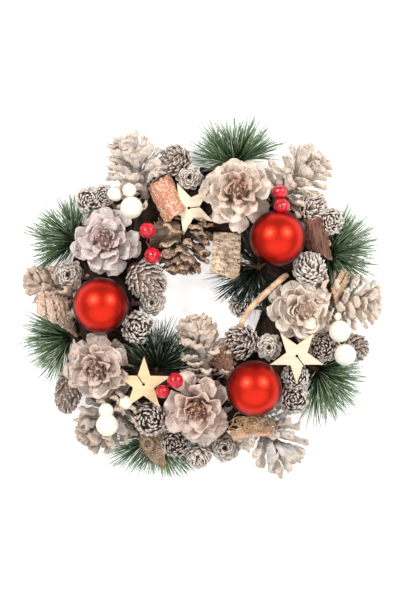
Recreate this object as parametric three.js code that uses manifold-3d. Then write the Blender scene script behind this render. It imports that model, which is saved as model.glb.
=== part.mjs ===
// A Christmas wreath that lies on its back: a ring of wound twigs carries whitewashed pine cones, small
// cones, red baubles, wooden stars, berries, bark and frosted needles.
// Millimetres. X is to the right and Y to the top of the wreath as it is seen, Z comes out of its face.

import * as THREE from "three";
import { mergeVertices } from "three/addons/utils/BufferGeometryUtils.js";
import Module from "manifold-3d";

const wasm = await Module();
wasm.setup();

// Driving sizes
const RING_RADIUS = 70;
const RING_HALF_WIDTH = 22;
const RING_HEIGHT = 26;
const RING_WAIST = 10;
const RING_STRANDS = 9;
const STRAND_DEPTH = 0.9;
const BAUBLE_RADIUS = 20;
const BAUBLE_SINK = 1.7;
const BAUBLE_HEIGHT = RING_HEIGHT + BAUBLE_RADIUS - BAUBLE_SINK;
const STAR_RADIUS = 20.3;
const STAR_NOTCH_RADIUS = 7.9;
const STAR_THICKNESS = 2.2;
const STAR_HOLE_RADIUS = 1.1;
const STAR_SLIT = 0.7;
const SLIT_HALF_ANGLE = 0.33;
const NEEDLE_LENGTH = 20;
const NEEDLE_WAY = 1.2;
const NEEDLE_FLOOR = 1.5;
const ROW_PITCH = 3.6;
const ROW_TURN = 0.23;
const BARE_SHARE = 0.3;
const TWIG_RADIUS = 1.4;
const WIRE_RADIUS = 0.8;
const STICK_RADIUS = 2.2;
const STALK_RADIUS = 1.5;
const STEM_SHARE = 0.3;
const CAP_RADIUS = 4.6;
const CAP_HEIGHT = 6;
const LOOP_RADIUS = 3.6;
const LOOP_WIRE = 0.6;
const BARK_THICKNESS = 2;
const BARK_RIPPLE = 0.8;
const FIBRE_RADIUS = 0.7;
const GAP = 0.3;
const SMALLEST_STEP = 1e-4;
const SHORTEST_EDGE = 0.06;

const DEGREE = Math.PI / 180;

// Finishes
const finish = (color, roughness, metalness = 0) => (
  new THREE.MeshStandardMaterial({ color, roughness, metalness })
);
const TWIG_BROWN = finish(0x6b4a30, 0.9);
const WHITEWASHED_CONE = finish(0xc8b9ae, 0.85);
const TAN_CONE = finish(0xb9a58f, 0.85);
const SMALL_CONE = finish(0x8b8074, 0.85);
const BAUBLE_RED = finish(0xc20d14, 0.3);
const CAP_SILVER = finish(0xc9c5bd, 0.3, 1);
const PALE_PLY = finish(0xf5e3bf, 0.7);
const CREAM_FOAM = finish(0xf6efdf, 0.7);
const BERRY_RED = finish(0xc01020, 0.35);
const BARK = finish(0x9c7458, 0.9);
const RATTAN = finish(0xb08d68, 0.8);
const PINE_GREEN = finish(0x2e5a3c, 0.8);

// A repeatable random number from 0 to 1 for each seed
function seeded(seed) {
  let state = seed;
  return () => {
    state = (state + 0x6d2b79f5) | 0;
    let mixed = Math.imul(state ^ (state >>> 15), 1 | state);
    mixed = (mixed + Math.imul(mixed ^ (mixed >>> 7), 61 | mixed)) ^ mixed;
    return ((mixed ^ (mixed >>> 14)) >>> 0) / 4294967296;
  };
}

const mix = THREE.MathUtils.lerp;
const vector = (place) => new THREE.Vector3(...place);

// Moves every point of a geometry by a rule
function reshape(geometry, rule) {
  const places = geometry.getAttribute("position");
  const point = new THREE.Vector3();
  for (let i = 0; i < places.count; i++) {
    point.fromBufferAttribute(places, i);
    rule(point);
    places.setXYZ(i, point.x, point.y, point.z);
  }
  return geometry;
}

// A closed geometry becomes a solid that can be joined and cut
function solidOf(geometry) {
  const bare = new THREE.BufferGeometry();
  bare.setAttribute("position", geometry.getAttribute("position"));
  if (geometry.index) bare.setIndex(geometry.index);
  const merged = mergeVertices(bare, SMALLEST_STEP);
  const corners = merged.index.array;
  const faces = [];
  for (let i = 0; i < corners.length; i += 3) {
    const [a, b, c] = [corners[i], corners[i + 1], corners[i + 2]];
    if (a !== b && b !== c && c !== a) faces.push(a, b, c);
  }
  const vertProperties = Float32Array.from(merged.getAttribute("position").array);
  return new wasm.Manifold(new wasm.Mesh({ numProp: 3, vertProperties, triVerts: Uint32Array.from(faces) }));
}

const join = (solids) => solids.reduce((whole, next) => whole.add(next));

// A matrix that carries the Z axis to a direction and the origin to a place
function aimed(place, direction) {
  const upright = new THREE.Vector3(0, 0, 1);
  const turn = new THREE.Quaternion().setFromUnitVectors(upright, direction.clone().normalize());
  return new THREE.Matrix4().compose(place, turn, new THREE.Vector3(1, 1, 1));
}

// A direction from its bearing in the plane of the wreath and its rise, both in degrees
function bearing(degrees, rise = 0) {
  const across = Math.cos(rise * DEGREE);
  return new THREE.Vector3(
    across * Math.cos(degrees * DEGREE),
    across * Math.sin(degrees * DEGREE),
    Math.sin(rise * DEGREE),
  );
}

// The wreath fills up in order. A piece that comes later is cut back from the room of the earlier ones.
const wreath = new THREE.Group();
const rooms = [];

function boxesMeet(a, b) {
  return [0, 1, 2].every((k) => a.min[k] < b.max[k] && b.min[k] < a.max[k]);
}

function cutBack(solid) {
  let left = solid;
  for (const room of rooms) {
    if (boxesMeet(left.boundingBox(), room.boundingBox())) left = left.subtract(room);
  }
  return left.simplify(SHORTEST_EDGE).decompose().sort((a, b) => b.volume() - a.volume())[0];
}

function meshOf(name, solid, material, place) {
  const { vertProperties, triVerts } = solid.getMesh();
  const geometry = new THREE.BufferGeometry();
  geometry.setAttribute("position", new THREE.BufferAttribute(Float32Array.from(vertProperties), 3));
  geometry.setIndex(new THREE.BufferAttribute(Uint32Array.from(triVerts), 1));
  geometry.translate(-place.x, -place.y, -place.z);
  geometry.computeVertexNormals();
  const mesh = new THREE.Mesh(geometry, material);
  mesh.name = name;
  mesh.position.copy(place);
  return mesh;
}

function addPiece(name, material, place, { solid, room }) {
  wreath.add(meshOf(name, cutBack(solid), material, place));
  rooms.push(...room);
}

// The ring of wound twigs, flat at the back
function ringGeometry(grow) {
  const [around, turns] = [10, 36];
  const geometry = new THREE.TorusGeometry(RING_RADIUS, 1, around, turns);
  return reshape(geometry, (point) => {
    const lap = Math.atan2(point.y, point.x);
    const across = Math.hypot(point.x, point.y) - RING_RADIUS;
    const section = Math.atan2(point.z, across);
    const strand = grow + STRAND_DEPTH * (Math.sin(RING_STRANDS * lap + 2 * section) - 1);
    const radius = RING_RADIUS + (RING_HALF_WIDTH + strand) * Math.cos(section);
    const height = RING_WAIST + (RING_HEIGHT - RING_WAIST + strand) * Math.sin(section);
    point.set(radius * Math.cos(lap), radius * Math.sin(lap), Math.max(grow > 0 ? -1 : 0, height));
  });
}

// The room that a round piece takes: a lathe shape round its own axis, one band for each step of height
function roundRoom(solid, bands, sides) {
  const { vertProperties, triVerts } = solid.getMesh();
  const { min, max } = solid.boundingBox();
  const widths = new Array(bands).fill(0);
  const step = (max[2] - min[2]) / bands;
  for (let i = 0; i < triVerts.length; i += 3) {
    const corners = [0, 1, 2].map((k) => 3 * triVerts[i + k]);
    const reach = Math.max(...corners.map((c) => Math.hypot(vertProperties[c], vertProperties[c + 1])));
    const heights = corners.map((c) => vertProperties[c + 2] - min[2]);
    const first = Math.max(0, Math.floor(Math.min(...heights) / step));
    const last = Math.min(bands - 1, Math.floor(Math.max(...heights) / step));
    for (let band = first; band <= last; band++) widths[band] = Math.max(widths[band], reach);
  }
  const outline = [new THREE.Vector2(0, min[2] - GAP)];
  for (let line = 0; line <= bands; line++) {
    const width = Math.max(widths[Math.max(0, line - 1)], widths[Math.min(bands - 1, line)]);
    let height = min[2] + line * step;
    if (line === 0) height = min[2] - GAP;
    if (line === bands) height = max[2] + GAP;
    outline.push(new THREE.Vector2((width + GAP) / Math.cos(Math.PI / sides), height));
  }
  outline.push(new THREE.Vector2(0, max[2] + GAP));
  return solidOf(new THREE.LatheGeometry(outline, sides).rotateX(Math.PI / 2));
}

// An open pine cone that stands on its base at the origin, drawn as one skin. Each row has broad scales
// that leave the core as petals do: flat in the lowest row, steeper and shorter row by row, and each row is
// turned by a third of a scale. A ring of the skin is a row's root, its underside or its upper side.
function openCone(radius, height, seed) {
  const random = seeded(seed);
  const [rows, perRow, half] = [4, 6, 0.32];
  const columns = 3 * perRow;
  const rings = 3 * rows + 1;
  const step = (2 * Math.PI) / columns;
  const thickness = 0.08 * radius;
  const lengths = Array.from({ length: rows * perRow }, () => mix(0.94, 1.06, random()));
  const turns = Array.from({ length: rows * perRow }, () => mix(-0.05, 0.05, random()));
  const geometry = new THREE.CylinderGeometry(1, 1, 1, columns, rings).rotateX(Math.PI / 2);
  geometry.rotateZ(Math.PI / 2).translate(0, 0, 0.5);
  return solidOf(reshape(geometry, (point) => {
    const ring = Math.round(point.z * rings);
    const column = (Math.round(Math.atan2(point.y, point.x) / step) + columns) % columns;
    const outside = Math.hypot(point.x, point.y) > 0.5 ? 1 : 0;
    const row = THREE.MathUtils.clamp(Math.floor((ring - 1) / 3), 0, rows - 1);
    const share = row / (rows - 1);
    const core = radius * mix(0.34, 0.15, share);
    const root = height * mix(0.22, 0.66, share);
    let [angle, wide, high] = [column * step, core, root];
    const stage = (ring - 1) % 3;
    const place = (column - row + columns) % columns;
    if (ring === 0) [wide, high] = [core * 0.8, 0];
    else if (ring === rings) [wide, high] = [core * 0.4, height * 0.8];
    else if (stage > 0 && place % 3 === 0) high = root + stage * height * 0.03;
    else if (stage > 0) {
      const scale = row * perRow + Math.floor(place / 3);
      const side = place % 3 === 1 ? -1 : 1;
      const rise = mix(8, 72, share) * DEGREE;
      const reach = radius * (1.02 - 0.68 * share ** 1.4) * lengths[scale];
      const lift = (stage - 1) * thickness;
      angle += side * (half - step / 2) + turns[scale];
      wide = reach - lift * Math.sin(rise);
      high = root + (reach - core) * Math.tan(rise) + lift * Math.cos(rise);
    }
    point.set(outside * wide * Math.cos(angle), outside * wide * Math.sin(angle), high);
  }));
}

function placedCone(shape, place, direction, bands) {
  const matrix = aimed(place, direction).elements;
  return { solid: shape.transform(matrix), room: [roundRoom(shape, bands, 14).transform(matrix)] };
}

// A pine cone seen from its side: a bud shape with long fingers raised from it row by row, each row turned
// by half a finger, all of them pointing on towards the tip. Its stem runs back from the base to a point.
function fingerCone(radius, length) {
  const [fingers, rows] = [7, 8];
  const around = 2 * fingers;
  return solidOf(reshape(new THREE.SphereGeometry(1, around, rows).rotateX(Math.PI / 2), (point) => {
    const share = 1 - Math.acos(THREE.MathUtils.clamp(point.z, -1, 1)) / Math.PI;
    const row = Math.round(share * rows);
    const side = Math.round((Math.atan2(point.y, point.x) / (2 * Math.PI)) * around);
    const finger = row > 0 && row < rows && (row + side) % 2 === 0;
    const swell = Math.sin(Math.PI * share ** 0.72) * (finger ? 1 : 0.5);
    const angle = Math.atan2(point.y, point.x);
    const width = row > 0 && row < rows ? Math.max(swell, 0.12) * radius : 0;
    const height = row === 0 ? -STEM_SHARE * length : length * (0.8 * share + (finger ? 0.2 : 0));
    point.set(width * Math.cos(angle), width * Math.sin(angle), height);
  }));
}

// A small closed cone: an egg with scales raised from its surface in a spiral lattice, on a stalk that
// reaches down to the ring
function smallCone({ at, radius, length, direction, relief = 0.2 }) {
  const [around, rows] = [8, 6];
  const egg = reshape(new THREE.SphereGeometry(1, around, rows).rotateX(Math.PI / 2), (point) => {
    const row = Math.round((Math.acos(THREE.MathUtils.clamp(point.z, -1, 1)) / Math.PI) * rows);
    const side = Math.round((Math.atan2(point.y, point.x) / (2 * Math.PI)) * around);
    const outside = Math.hypot(point.x, point.y) > 0.1;
    const raised = outside && (row + side) % 2 === 0 ? 1 + relief : 1 - relief / 2;
    const sway = outside && (row + side) % 2 === 0 ? relief * 0.5 : 0;
    point.set(point.x * raised * radius, point.y * raised * radius, (point.z * 0.94 + sway) * length);
  });
  const matrix = aimed(at, direction);
  const room = reshape(new THREE.SphereGeometry(1, 12, 8).rotateX(Math.PI / 2), (point) => {
    const wide = radius * (1 + relief) + GAP;
    point.set(point.x * wide * 1.05, point.y * wide * 1.05, point.z * (length * 1.12 + GAP));
  });
  return { body: solidOf(egg.applyMatrix4(matrix)), room: solidOf(room.applyMatrix4(matrix)) };
}

// The nearest place inside the ring, where a stalk or wire ends
function ringSeat(place) {
  const radius = Math.hypot(place.x, place.y);
  return new THREE.Vector3((place.x / radius) * RING_RADIUS, (place.y / radius) * RING_RADIUS, RING_WAIST);
}

// A round rod through a few places, closed at both ends
function rod(places, radius, sides = 5, steps = places.length * 2) {
  const section = new THREE.Shape();
  for (let i = 0; i < sides; i++) {
    const angle = (i / sides) * 2 * Math.PI;
    const corner = [radius * Math.cos(angle), radius * Math.sin(angle)];
    if (i === 0) section.moveTo(...corner);
    else section.lineTo(...corner);
  }
  const path = places.length === 2
    ? new THREE.LineCurve3(places[0], places[1])
    : new THREE.CatmullRomCurve3(places);
  const options = { steps: places.length === 2 ? 1 : steps, bevelEnabled: false, extrudePath: path };
  return solidOf(new THREE.ExtrudeGeometry(section, options));
}

function rodWithRoom(places, radius, sides = 4, steps) {
  return { body: rod(places, radius, sides, steps), room: rod(places, radius * 1.25 + GAP, 4, steps) };
}

// Small cones that touch are one piece
function coneCluster(cones) {
  const bodies = [];
  const room = [];
  for (const cone of cones) {
    const at = vector(cone.at);
    const made = smallCone({ ...cone, at });
    const loose = made.body.intersect(rooms[0]).isEmpty();
    const apart = bodies.length > 0 && made.body.intersect(join(bodies)).isEmpty();
    const before = cones[cones.indexOf(cone) - 1];
    bodies.push(made.body);
    room.push(made.room);
    const ends = [];
    if (apart) ends.push(vector(before.at));
    if (loose) ends.push(ringSeat(at));
    for (const end of ends) {
      const stalk = rodWithRoom([at, end], STALK_RADIUS);
      bodies.push(stalk.body);
      room.push(stalk.room);
    }
  }
  return { solid: join(bodies), room };
}

// A place on a sheet of bark between four corners, at a share along it and a share across its arch
function barkPlace(corners, arch, along, across) {
  let [a, b, c, d] = corners.map(vector);
  const faceUp = b.clone().sub(a).cross(d.clone().sub(a)).z > 0;
  if (!faceUp) [a, b, c, d] = [b, a, d, c];
  const place = a.lerp(b, along).lerp(d.lerp(c, along), across);
  place.z += arch * (1 - (2 * across - 1) ** 2) + BARK_RIPPLE * Math.sin(7 * along + 5 * across);
  return place;
}

// A thin sheet of bark, arched across its width. Its room is thicker, and its rims reach further out.
function barkSheet(corners, arch, thickness, grow = 0) {
  const [long, wide] = [3, 4];
  return solidOf(reshape(new THREE.BoxGeometry(1, 1, 1, long, wide, 1), (point) => {
    const [u, v] = [0.5 + point.x, 0.5 + point.y];
    const side = point.z * (thickness + 2 * grow);
    point.copy(barkPlace(corners, arch, u, v));
    const uInner = THREE.MathUtils.clamp(u, 1 / long, 1 - 1 / long);
    const vInner = THREE.MathUtils.clamp(v, 1 / wide, 1 - 1 / wide);
    const inner = barkPlace(corners, arch, uInner, vInner);
    point.addScaledVector(point.clone().sub(inner).normalize(), 1.5 * grow);
    point.z += side;
  }));
}

// A ring that lies half sunk in a sheet of bark: the rim of a knot, or a curl of plant fibre
function ringOnBark({ corners, arch }, { along, across, radius, tube, lift, tilt }, grow = 0) {
  const ring = new THREE.TorusGeometry(radius, tube + grow, 4, 8).rotateX(tilt * DEGREE);
  const place = barkPlace(corners, arch, along, across);
  return solidOf(ring.translate(place.x, place.y, place.z + lift));
}

function barkPiece(piece) {
  const { corners, arch, thick = BARK_THICKNESS, rings = [] } = piece;
  const parts = (grow) => rings.map((ring) => ringOnBark(piece, ring, grow));
  return {
    solid: join([barkSheet(corners, arch, thick), ...parts(0)]),
    room: [barkSheet(corners, arch, thick, GAP), ...parts(2 * GAP)],
  };
}

// A five-pointed plywood star with a drilled centre and a saw cut from the hole to one notch
function starSolid(tipBearing, cutNotch, grow = 0) {
  const points = [];
  for (let i = 0; i < 10; i++) {
    const k = i + 2 * cutNotch + 1;
    const radius = (k % 2 === 0 ? STAR_RADIUS : STAR_NOTCH_RADIUS) + 2 * grow;
    const angle = (tipBearing + k * 36) * DEGREE;
    points.push(new THREE.Vector2(radius * Math.cos(angle), radius * Math.sin(angle)));
  }
  const thickness = STAR_THICKNESS + 2 * grow;
  const board = (corners) => {
    const options = { depth: thickness, bevelEnabled: false };
    const block = new THREE.ExtrudeGeometry(new THREE.Shape(corners), options);
    return solidOf(block.translate(0, 0, -thickness / 2));
  };
  if (grow > 0) return board(points);
  const notch = points[0];
  const inward = notch.clone().normalize();
  const sideways = new THREE.Vector2(-inward.y, inward.x).multiplyScalar(STAR_SLIT / 2);
  const start = Math.atan2(inward.y, inward.x);
  const outline = [notch.clone().add(sideways), ...points.slice(1), notch.clone().sub(sideways)];
  for (let i = 0; i <= 8; i++) {
    const angle = start - SLIT_HALF_ANGLE - (i / 8) * (2 * Math.PI - 2 * SLIT_HALF_ANGLE);
    outline.push(new THREE.Vector2(STAR_HOLE_RADIUS * Math.cos(angle), STAR_HOLE_RADIUS * Math.sin(angle)));
  }
  return board(outline);
}

function star(at, face, tipBearing, cutNotch) {
  const matrix = aimed(vector(at), vector(face)).elements;
  return {
    solid: starSolid(tipBearing, cutNotch).transform(matrix),
    room: [starSolid(tipBearing, cutNotch, GAP).transform(matrix)],
  };
}

// Berries on one wire that branches from a place on the ring
function berrySprig({ foot, fork, berries, wire }) {
  const bodies = [];
  const room = [];
  const add = ({ body, room: space }) => {
    bodies.push(body);
    room.push(space);
  };
  const knot = vector(fork);
  add(rodWithRoom([vector(foot), knot], wire));
  for (const [x, y, z, radius] of berries) {
    const centre = new THREE.Vector3(x, y, z);
    const place = new THREE.Matrix4().makeTranslation(centre);
    add({
      body: solidOf(new THREE.SphereGeometry(radius, 7, 5).applyMatrix4(place)),
      room: solidOf(new THREE.SphereGeometry(radius * 1.06 + GAP, 10, 7).applyMatrix4(place)),
    });
    add(rodWithRoom([knot, centre], wire));
  }
  return { solid: join(bodies), room };
}

// A twig of frosted needles as one skin: a slim stem whose corners are drawn out into needles, every
// second one of each row, with each row turned a little further. A needle that has no free way stays a knob.
function needleTwig(foot, along, length, taken, random) {
  const [sides, rows] = [6, 1 + Math.round((length * (1 - BARE_SHARE)) / ROW_PITCH)];
  const shareOf = (row) => (row === 0 ? 0 : mix(BARE_SHARE, 1, (row - 1) / (rows - 1)));
  const geometry = new THREE.CylinderGeometry(1, 1, 1, sides, rows).rotateX(Math.PI / 2);
  geometry.rotateZ(Math.PI / 2).translate(0, 0, 0.5);
  const matrix = aimed(foot, along);
  const tips = new Map();
  for (let row = 1; row <= rows; row++) {
    for (let side = row % 2; side < sides; side += 2) {
      const share = shareOf(row);
      const spread = mix(66, 18, share) * DEGREE;
      const size = NEEDLE_LENGTH * mix(0.8, 1.1, random());
      const turn = (side / sides) * 2 * Math.PI + row * ROW_TURN;
      const root = new THREE.Vector3(0, 0, share * length);
      const local = new THREE.Vector3(
        Math.sin(spread) * Math.cos(turn), Math.sin(spread) * Math.sin(turn), Math.cos(spread),
      );
      const way = local.clone().transformDirection(matrix);
      const start = root.clone().applyMatrix4(matrix);
      const lowest = (NEEDLE_FLOOR - start.z) / size;
      if (way.z < lowest) way.setZ(lowest);
      const blade = new THREE.ConeGeometry(NEEDLE_WAY, size, 4).rotateX(Math.PI / 2);
      const path = solidOf(blade.translate(0, 0, size / 2).applyMatrix4(aimed(start, way)));
      const bounds = path.boundingBox();
      const near = taken.filter((room) => boxesMeet(bounds, room.boundingBox()));
      const free = near.every((room) => path.intersect(room).isEmpty());
      if (free) tips.set(`${row} ${side}`, start.addScaledVector(way, size));
    }
  }
  return solidOf(reshape(geometry, (point) => {
    const row = Math.round(point.z * rows);
    const angle = Math.atan2(point.y, point.x);
    const side = (Math.round((angle / (2 * Math.PI)) * sides) + sides) % sides;
    const outside = Math.hypot(point.x, point.y) > 0.5;
    const tip = outside && tips.get(`${row} ${side}`);
    if (tip) point.copy(tip);
    else {
      const turn = (side / sides) * 2 * Math.PI + row * ROW_TURN;
      const radius = outside ? TWIG_RADIUS * mix(1, 0.6, point.z) : 0;
      point.set(radius * Math.cos(turn), radius * Math.sin(turn), shareOf(row) * length);
      point.applyMatrix4(matrix);
    }
  }));
}

// A spray of needles: a few twigs that fork from one foot on the ring
function needleSpray({ base, twigs, seed }) {
  const random = seeded(seed);
  const foot = vector(base);
  const made = [];
  for (const [degrees, length, rise] of twigs) {
    made.push(needleTwig(foot, bearing(degrees, rise), length, rooms.concat(made), random));
  }
  const spray = join([rod([ringSeat(foot), foot], TWIG_RADIUS * 1.3, 5), ...made]);
  const whole = cutBack(spray);
  return { solid: whole, room: [whole] };
}

// Base ring
addPiece("base_ring", TWIG_BROWN, new THREE.Vector3(), {
  solid: solidOf(ringGeometry(0)),
  room: [solidOf(ringGeometry(GAP))],
});

// Red baubles, each with its cap and hanging loop turned to the hidden side
const BAUBLES = {
  upper_right: { at: [55, 44.6], cap: [0.7, 0.35, -0.62] },
  left: { at: [-71.3, -3.4], cap: [-0.75, -0.2, -0.63] },
  lower_right: { at: [38.3, -62.8], cap: [0.5, -0.62, -0.6] },
};

function bauble(centre) {
  const place = new THREE.Matrix4().makeTranslation(centre);
  const ball = (radius) => solidOf(new THREE.SphereGeometry(radius, 14, 9).applyMatrix4(place));
  return { solid: ball(BAUBLE_RADIUS), room: [ball(BAUBLE_RADIUS + GAP)] };
}

function baubleCap(centre, direction) {
  const matrix = aimed(centre, direction).elements;
  const low = BAUBLE_RADIUS - 1.5;
  const high = BAUBLE_RADIUS + CAP_HEIGHT;
  const profile = [[0, low], [CAP_RADIUS, low], [CAP_RADIUS, high - 1], [CAP_RADIUS - 1, high], [0, high]];
  const outline = profile.map(([x, y]) => new THREE.Vector2(x, y));
  const cap = new THREE.LatheGeometry(outline, 10).rotateX(Math.PI / 2);
  const loop = new THREE.TorusGeometry(LOOP_RADIUS, LOOP_WIRE, 4, 9).rotateX(Math.PI / 2);
  loop.translate(0, 0, high + LOOP_RADIUS - 1);
  const wide = CAP_RADIUS + 2 * GAP;
  const room = new THREE.CylinderGeometry(wide, wide, CAP_HEIGHT + 2 * LOOP_RADIUS + 1.5, 8);
  room.rotateX(Math.PI / 2).translate(0, 0, high - CAP_HEIGHT / 2 + LOOP_RADIUS);
  return {
    solid: solidOf(cap).add(solidOf(loop)).transform(matrix),
    room: [solidOf(room).transform(matrix)],
  };
}

for (const [side, { at, cap }] of Object.entries(BAUBLES)) {
  const centre = new THREE.Vector3(...at, BAUBLE_HEIGHT);
  addPiece(`bauble_${side}`, BAUBLE_RED, centre, bauble(centre));
  addPiece(`bauble_cap_${side}`, CAP_SILVER, centre, baubleCap(centre, vector(cap)));
}

// Wooden stars
const STARS = {
  top: { at: [-8.4, 66.3, 31], face: [0, 0.14, 1], tip: -101, notch: 1 },
  lower_left: { at: [-40.8, -60.3, 37], face: [0.06, 0.1, 1], tip: 89, notch: 0 },
  right: { at: [68.9, -39.6, 41], face: [0.05, -0.1, 1], tip: -90, notch: 0 },
};
for (const [side, { at, face, tip, notch }] of Object.entries(STARS)) {
  addPiece(`wooden_star_${side}`, PALE_PLY, vector(at), star(at, face, tip, notch));
}

// Berries: cream foam ones on cream wire, and sugared red ones
const SPRIGS = {
  cream_berries_upper_left: {
    foot: [-44, 60, 18], fork: [-53, 72, 34], wire: WIRE_RADIUS,
    berries: [[-49.3, 66.3, 46, 7.9], [-50.8, 78.8, 43, 5], [-61.3, 76, 40, 5.1]],
  },
  cream_berries_right: {
    foot: [78, -24, 16], fork: [98, -28, 26], wire: WIRE_RADIUS,
    berries: [[99.8, -22.1, 38, 7.8], [98.5, -11.5, 38, 2.6], [104.1, -39, 30, 7.9]],
  },
  cream_berries_lower_left: {
    foot: [-50, -64, 14], fork: [-62, -78, 30], wire: WIRE_RADIUS,
    berries: [[-66.8, -89.1, 42, 7.9], [-67.6, -78.9, 40, 5.3], [-54.3, -73.3, 37, 5.1]],
  },
  red_berries_top_right: {
    foot: [50, 62, 14], fork: [58, 73, 38], wire: WIRE_RADIUS,
    berries: [[56.6, 77.5, 46, 5.3], [58, 67.2, 48, 5.8]],
  },
  red_berries_left: {
    foot: [-40, 43, 14], fork: [-39, 42, 32], wire: WIRE_RADIUS,
    berries: [[-37.7, 50, 42, 5.8], [-34.3, 32.3, 38, 5.9]],
  },
  red_berries_lower_left: {
    foot: [-25, -62, 16], fork: [-25, -62, 42], wire: WIRE_RADIUS,
    berries: [[-27.1, -65, 49, 4.8], [-17.9, -57, 51, 5.7]],
  },
};
for (const [name, sprig] of Object.entries(SPRIGS)) {
  const material = name.startsWith("cream") ? CREAM_FOAM : BERRY_RED;
  addPiece(name, material, vector(sprig.fork), berrySprig(sprig));
}

// Bark, chip and stick
const BARK_PIECES = {
  bark_orange_curl: {
    corners: [[-38, 81.5, 17], [-24.8, 54.6, 30], [-11.1, 66.4, 33], [-22.5, 92.1, 18]], arch: 13,
  },
  bark_olive: { corners: [[-33, 57, 26], [-15, 58, 26], [-14.3, 40, 24], [-37, 38, 24]], arch: 9 },
  birch_chip: {
    corners: [[9.6, 49.6, 21], [29.4, 48.3, 21], [27.8, 15.1, 33], [7.4, 20.2, 32]], arch: 0, thick: 3.2,
  },
  bark_purple_curl: { corners: [[75, 55.3, 20], [76.8, 36.8, 21], [91, 32, 17], [86, 60, 14]], arch: 12 },
  bark_roll_left: { corners: [[-119, 9, 24], [-119, -8, 20], [-88.1, -27, 12], [-97, 2, 20]], arch: 10 },
  bark_conical_curl: {
    corners: [[18.3, -31.6, 32], [24, -41, 30], [19, -58, 24], [5.9, -43.4, 24]], arch: 7,
  },
  bark_with_knot: {
    corners: [[-45, -79, 13], [-26, -86, 13], [-26, -124, 5], [-44, -112, 5]], arch: 5,
    rings: [{ along: 0.3, across: 0.8, radius: 3.2, tube: 1.3, lift: 1, tilt: 0 }],
  },
  canoe_peel: {
    corners: [[17, -86, 34], [52, -84, 38], [54, -92, 38], [22, -100, 33]], arch: -6,
    rings: [{ along: 0.5, across: 0.5, radius: 4.3, tube: FIBRE_RADIUS, lift: 3.4, tilt: 38 }],
  },
  bark_strips_right: { corners: [[94, 9, 32.5], [103, 24, 23], [109, 19, 23], [98, -2, 33.5]], arch: 2 },
};
for (const [name, piece] of Object.entries(BARK_PIECES)) {
  addPiece(name, BARK, vector(piece.corners[0]), barkPiece(piece));
}
const STICK = [
  [62.5, 18.9, 26], [50, 8.2, 33], [37.1, -4.3, 35], [30.7, -13.9, 32], [28.6, -19.5, 28],
].map(vector);
const stick = rodWithRoom(STICK, STICK_RADIUS, 6, 8);
addPiece("rattan_stick", RATTAN, STICK[0], { solid: stick.body, room: [stick.room] });

// Big open cones seen on end
const BIG_CONES = {
  top: { at: [25.6, 75.7, 19], radius: 26, lean: [0.04, 0.1, 1] },
  upper_left: { at: [-66.8, 41.6, 16], radius: 25.5, lean: [-0.08, 0.06, 1] },
  lower_left: { at: [-72.1, -47.1, 14], radius: 25, lean: [-0.08, -0.08, 1] },
  bottom: { at: [-2.5, -76.2, 16], radius: 26, lean: [0, -0.08, 1] },
  right: { at: [70.3, -7.4, 15], radius: 24.5, lean: [0.12, 0.02, 1] },
};
let seed = 1;
for (const [side, { at, radius, lean }] of Object.entries(BIG_CONES)) {
  const cone = openCone(radius, 1.62 * radius, seed++);
  addPiece(`big_cone_${side}`, WHITEWASHED_CONE, vector(at), placedCone(cone, vector(at), vector(lean), 7));
}

// Cones on their sides, their long scales like fingers
const SIDE_CONES = {
  top_left: { at: [-41, 80, 21], towards: 110, rise: 5, radius: 20, length: 43 },
  top_right: { at: [58, 76, 20], towards: 46, rise: 6, radius: 21, length: 43 },
  right: { at: [95, 0, 19], towards: -5, rise: 2, radius: 20, length: 37 },
  lower_right: { at: [44, -88, 19], towards: -55, rise: 3, radius: 21, length: 42 },
  lower_left: { at: [-58, -75, 20], towards: 230, rise: 3, radius: 20, length: 40 },
  left: { at: [-92, 4, 17], towards: 162, rise: 2, radius: 16, length: 38 },
  inner_bottom: { at: [5, -49, 21], towards: 108, rise: 8, radius: 18, length: 41 },
  inner_top: { at: [-10, 52, 21], towards: 260, rise: 6, radius: 19, length: 34 },
};
for (const [side, { at, towards, rise, radius, length }] of Object.entries(SIDE_CONES)) {
  const cone = placedCone(fingerCone(radius, length), vector(at), bearing(towards, rise), 5);
  addPiece(`side_cone_${side}`, TAN_CONE, vector(at), cone);
}

// Small cones
const UP = new THREE.Vector3(0, 0, 1);
const small = (x, y, z, radius, length = radius, direction = UP, relief = 0.2) => (
  { at: [x, y, z], radius, length, direction, relief }
);
const SMALL_CONES = {
  top: [small(-17.6, 101.4, 20, 10.5, 12, bearing(170, 30)), small(-8, 88.6, 30, 9.6, 11)],
  top_left: [small(-70, 76, 25, 7.5, 8), small(-80, 72.5, 20, 9.5, 10)],
  left: [small(-95.2, 18.5, 30, 10.6, 12, UP, 0.26)],
  inner_left: [
    small(-39.8, 15.6, 30, 12.5, 16, bearing(-40, 15)),
    small(-35.2, -1.6, 24, 9.6, 11),
    small(-44.8, -19.3, 30, 11, 12),
  ],
  upper_right: [small(78.3, 22.4, 32, 11, 13, bearing(110, 45))],
  far_right: [small(94, 57.5, 20, 9, 10), small(80, 66.5, 24, 10, 12, bearing(30, 40))],
  inner_right: [small(29.5, -29.6, 25, 11.5, 13, bearing(200, 50)), small(49, -33.6, 33, 10, 11, UP, 0.26)],
  right: [small(88, -34, 26, 9.4, 11), small(111, -34.4, 16, 9.6, 11, bearing(-10, 20))],
  lower_right: [small(68.5, -54.8, 28, 9, 11), small(67.5, -71, 22, 10, 11)],
  lower_left: [small(-95.7, -64.6, 14, 9, 17, bearing(262, 0))],
  bottom_left: [small(-36, -85, 24, 11.5, 14), small(-18.1, -103, 16, 9.5, 11)],
  bottom: [small(-1.5, -112, 12, 8.5, 10, bearing(-90, 30)), small(17.5, -106.4, 17, 11, 12, UP, 0.26)],
  hole: [small(28.5, -3.6, 20, 7.5, 9)],
};
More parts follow.
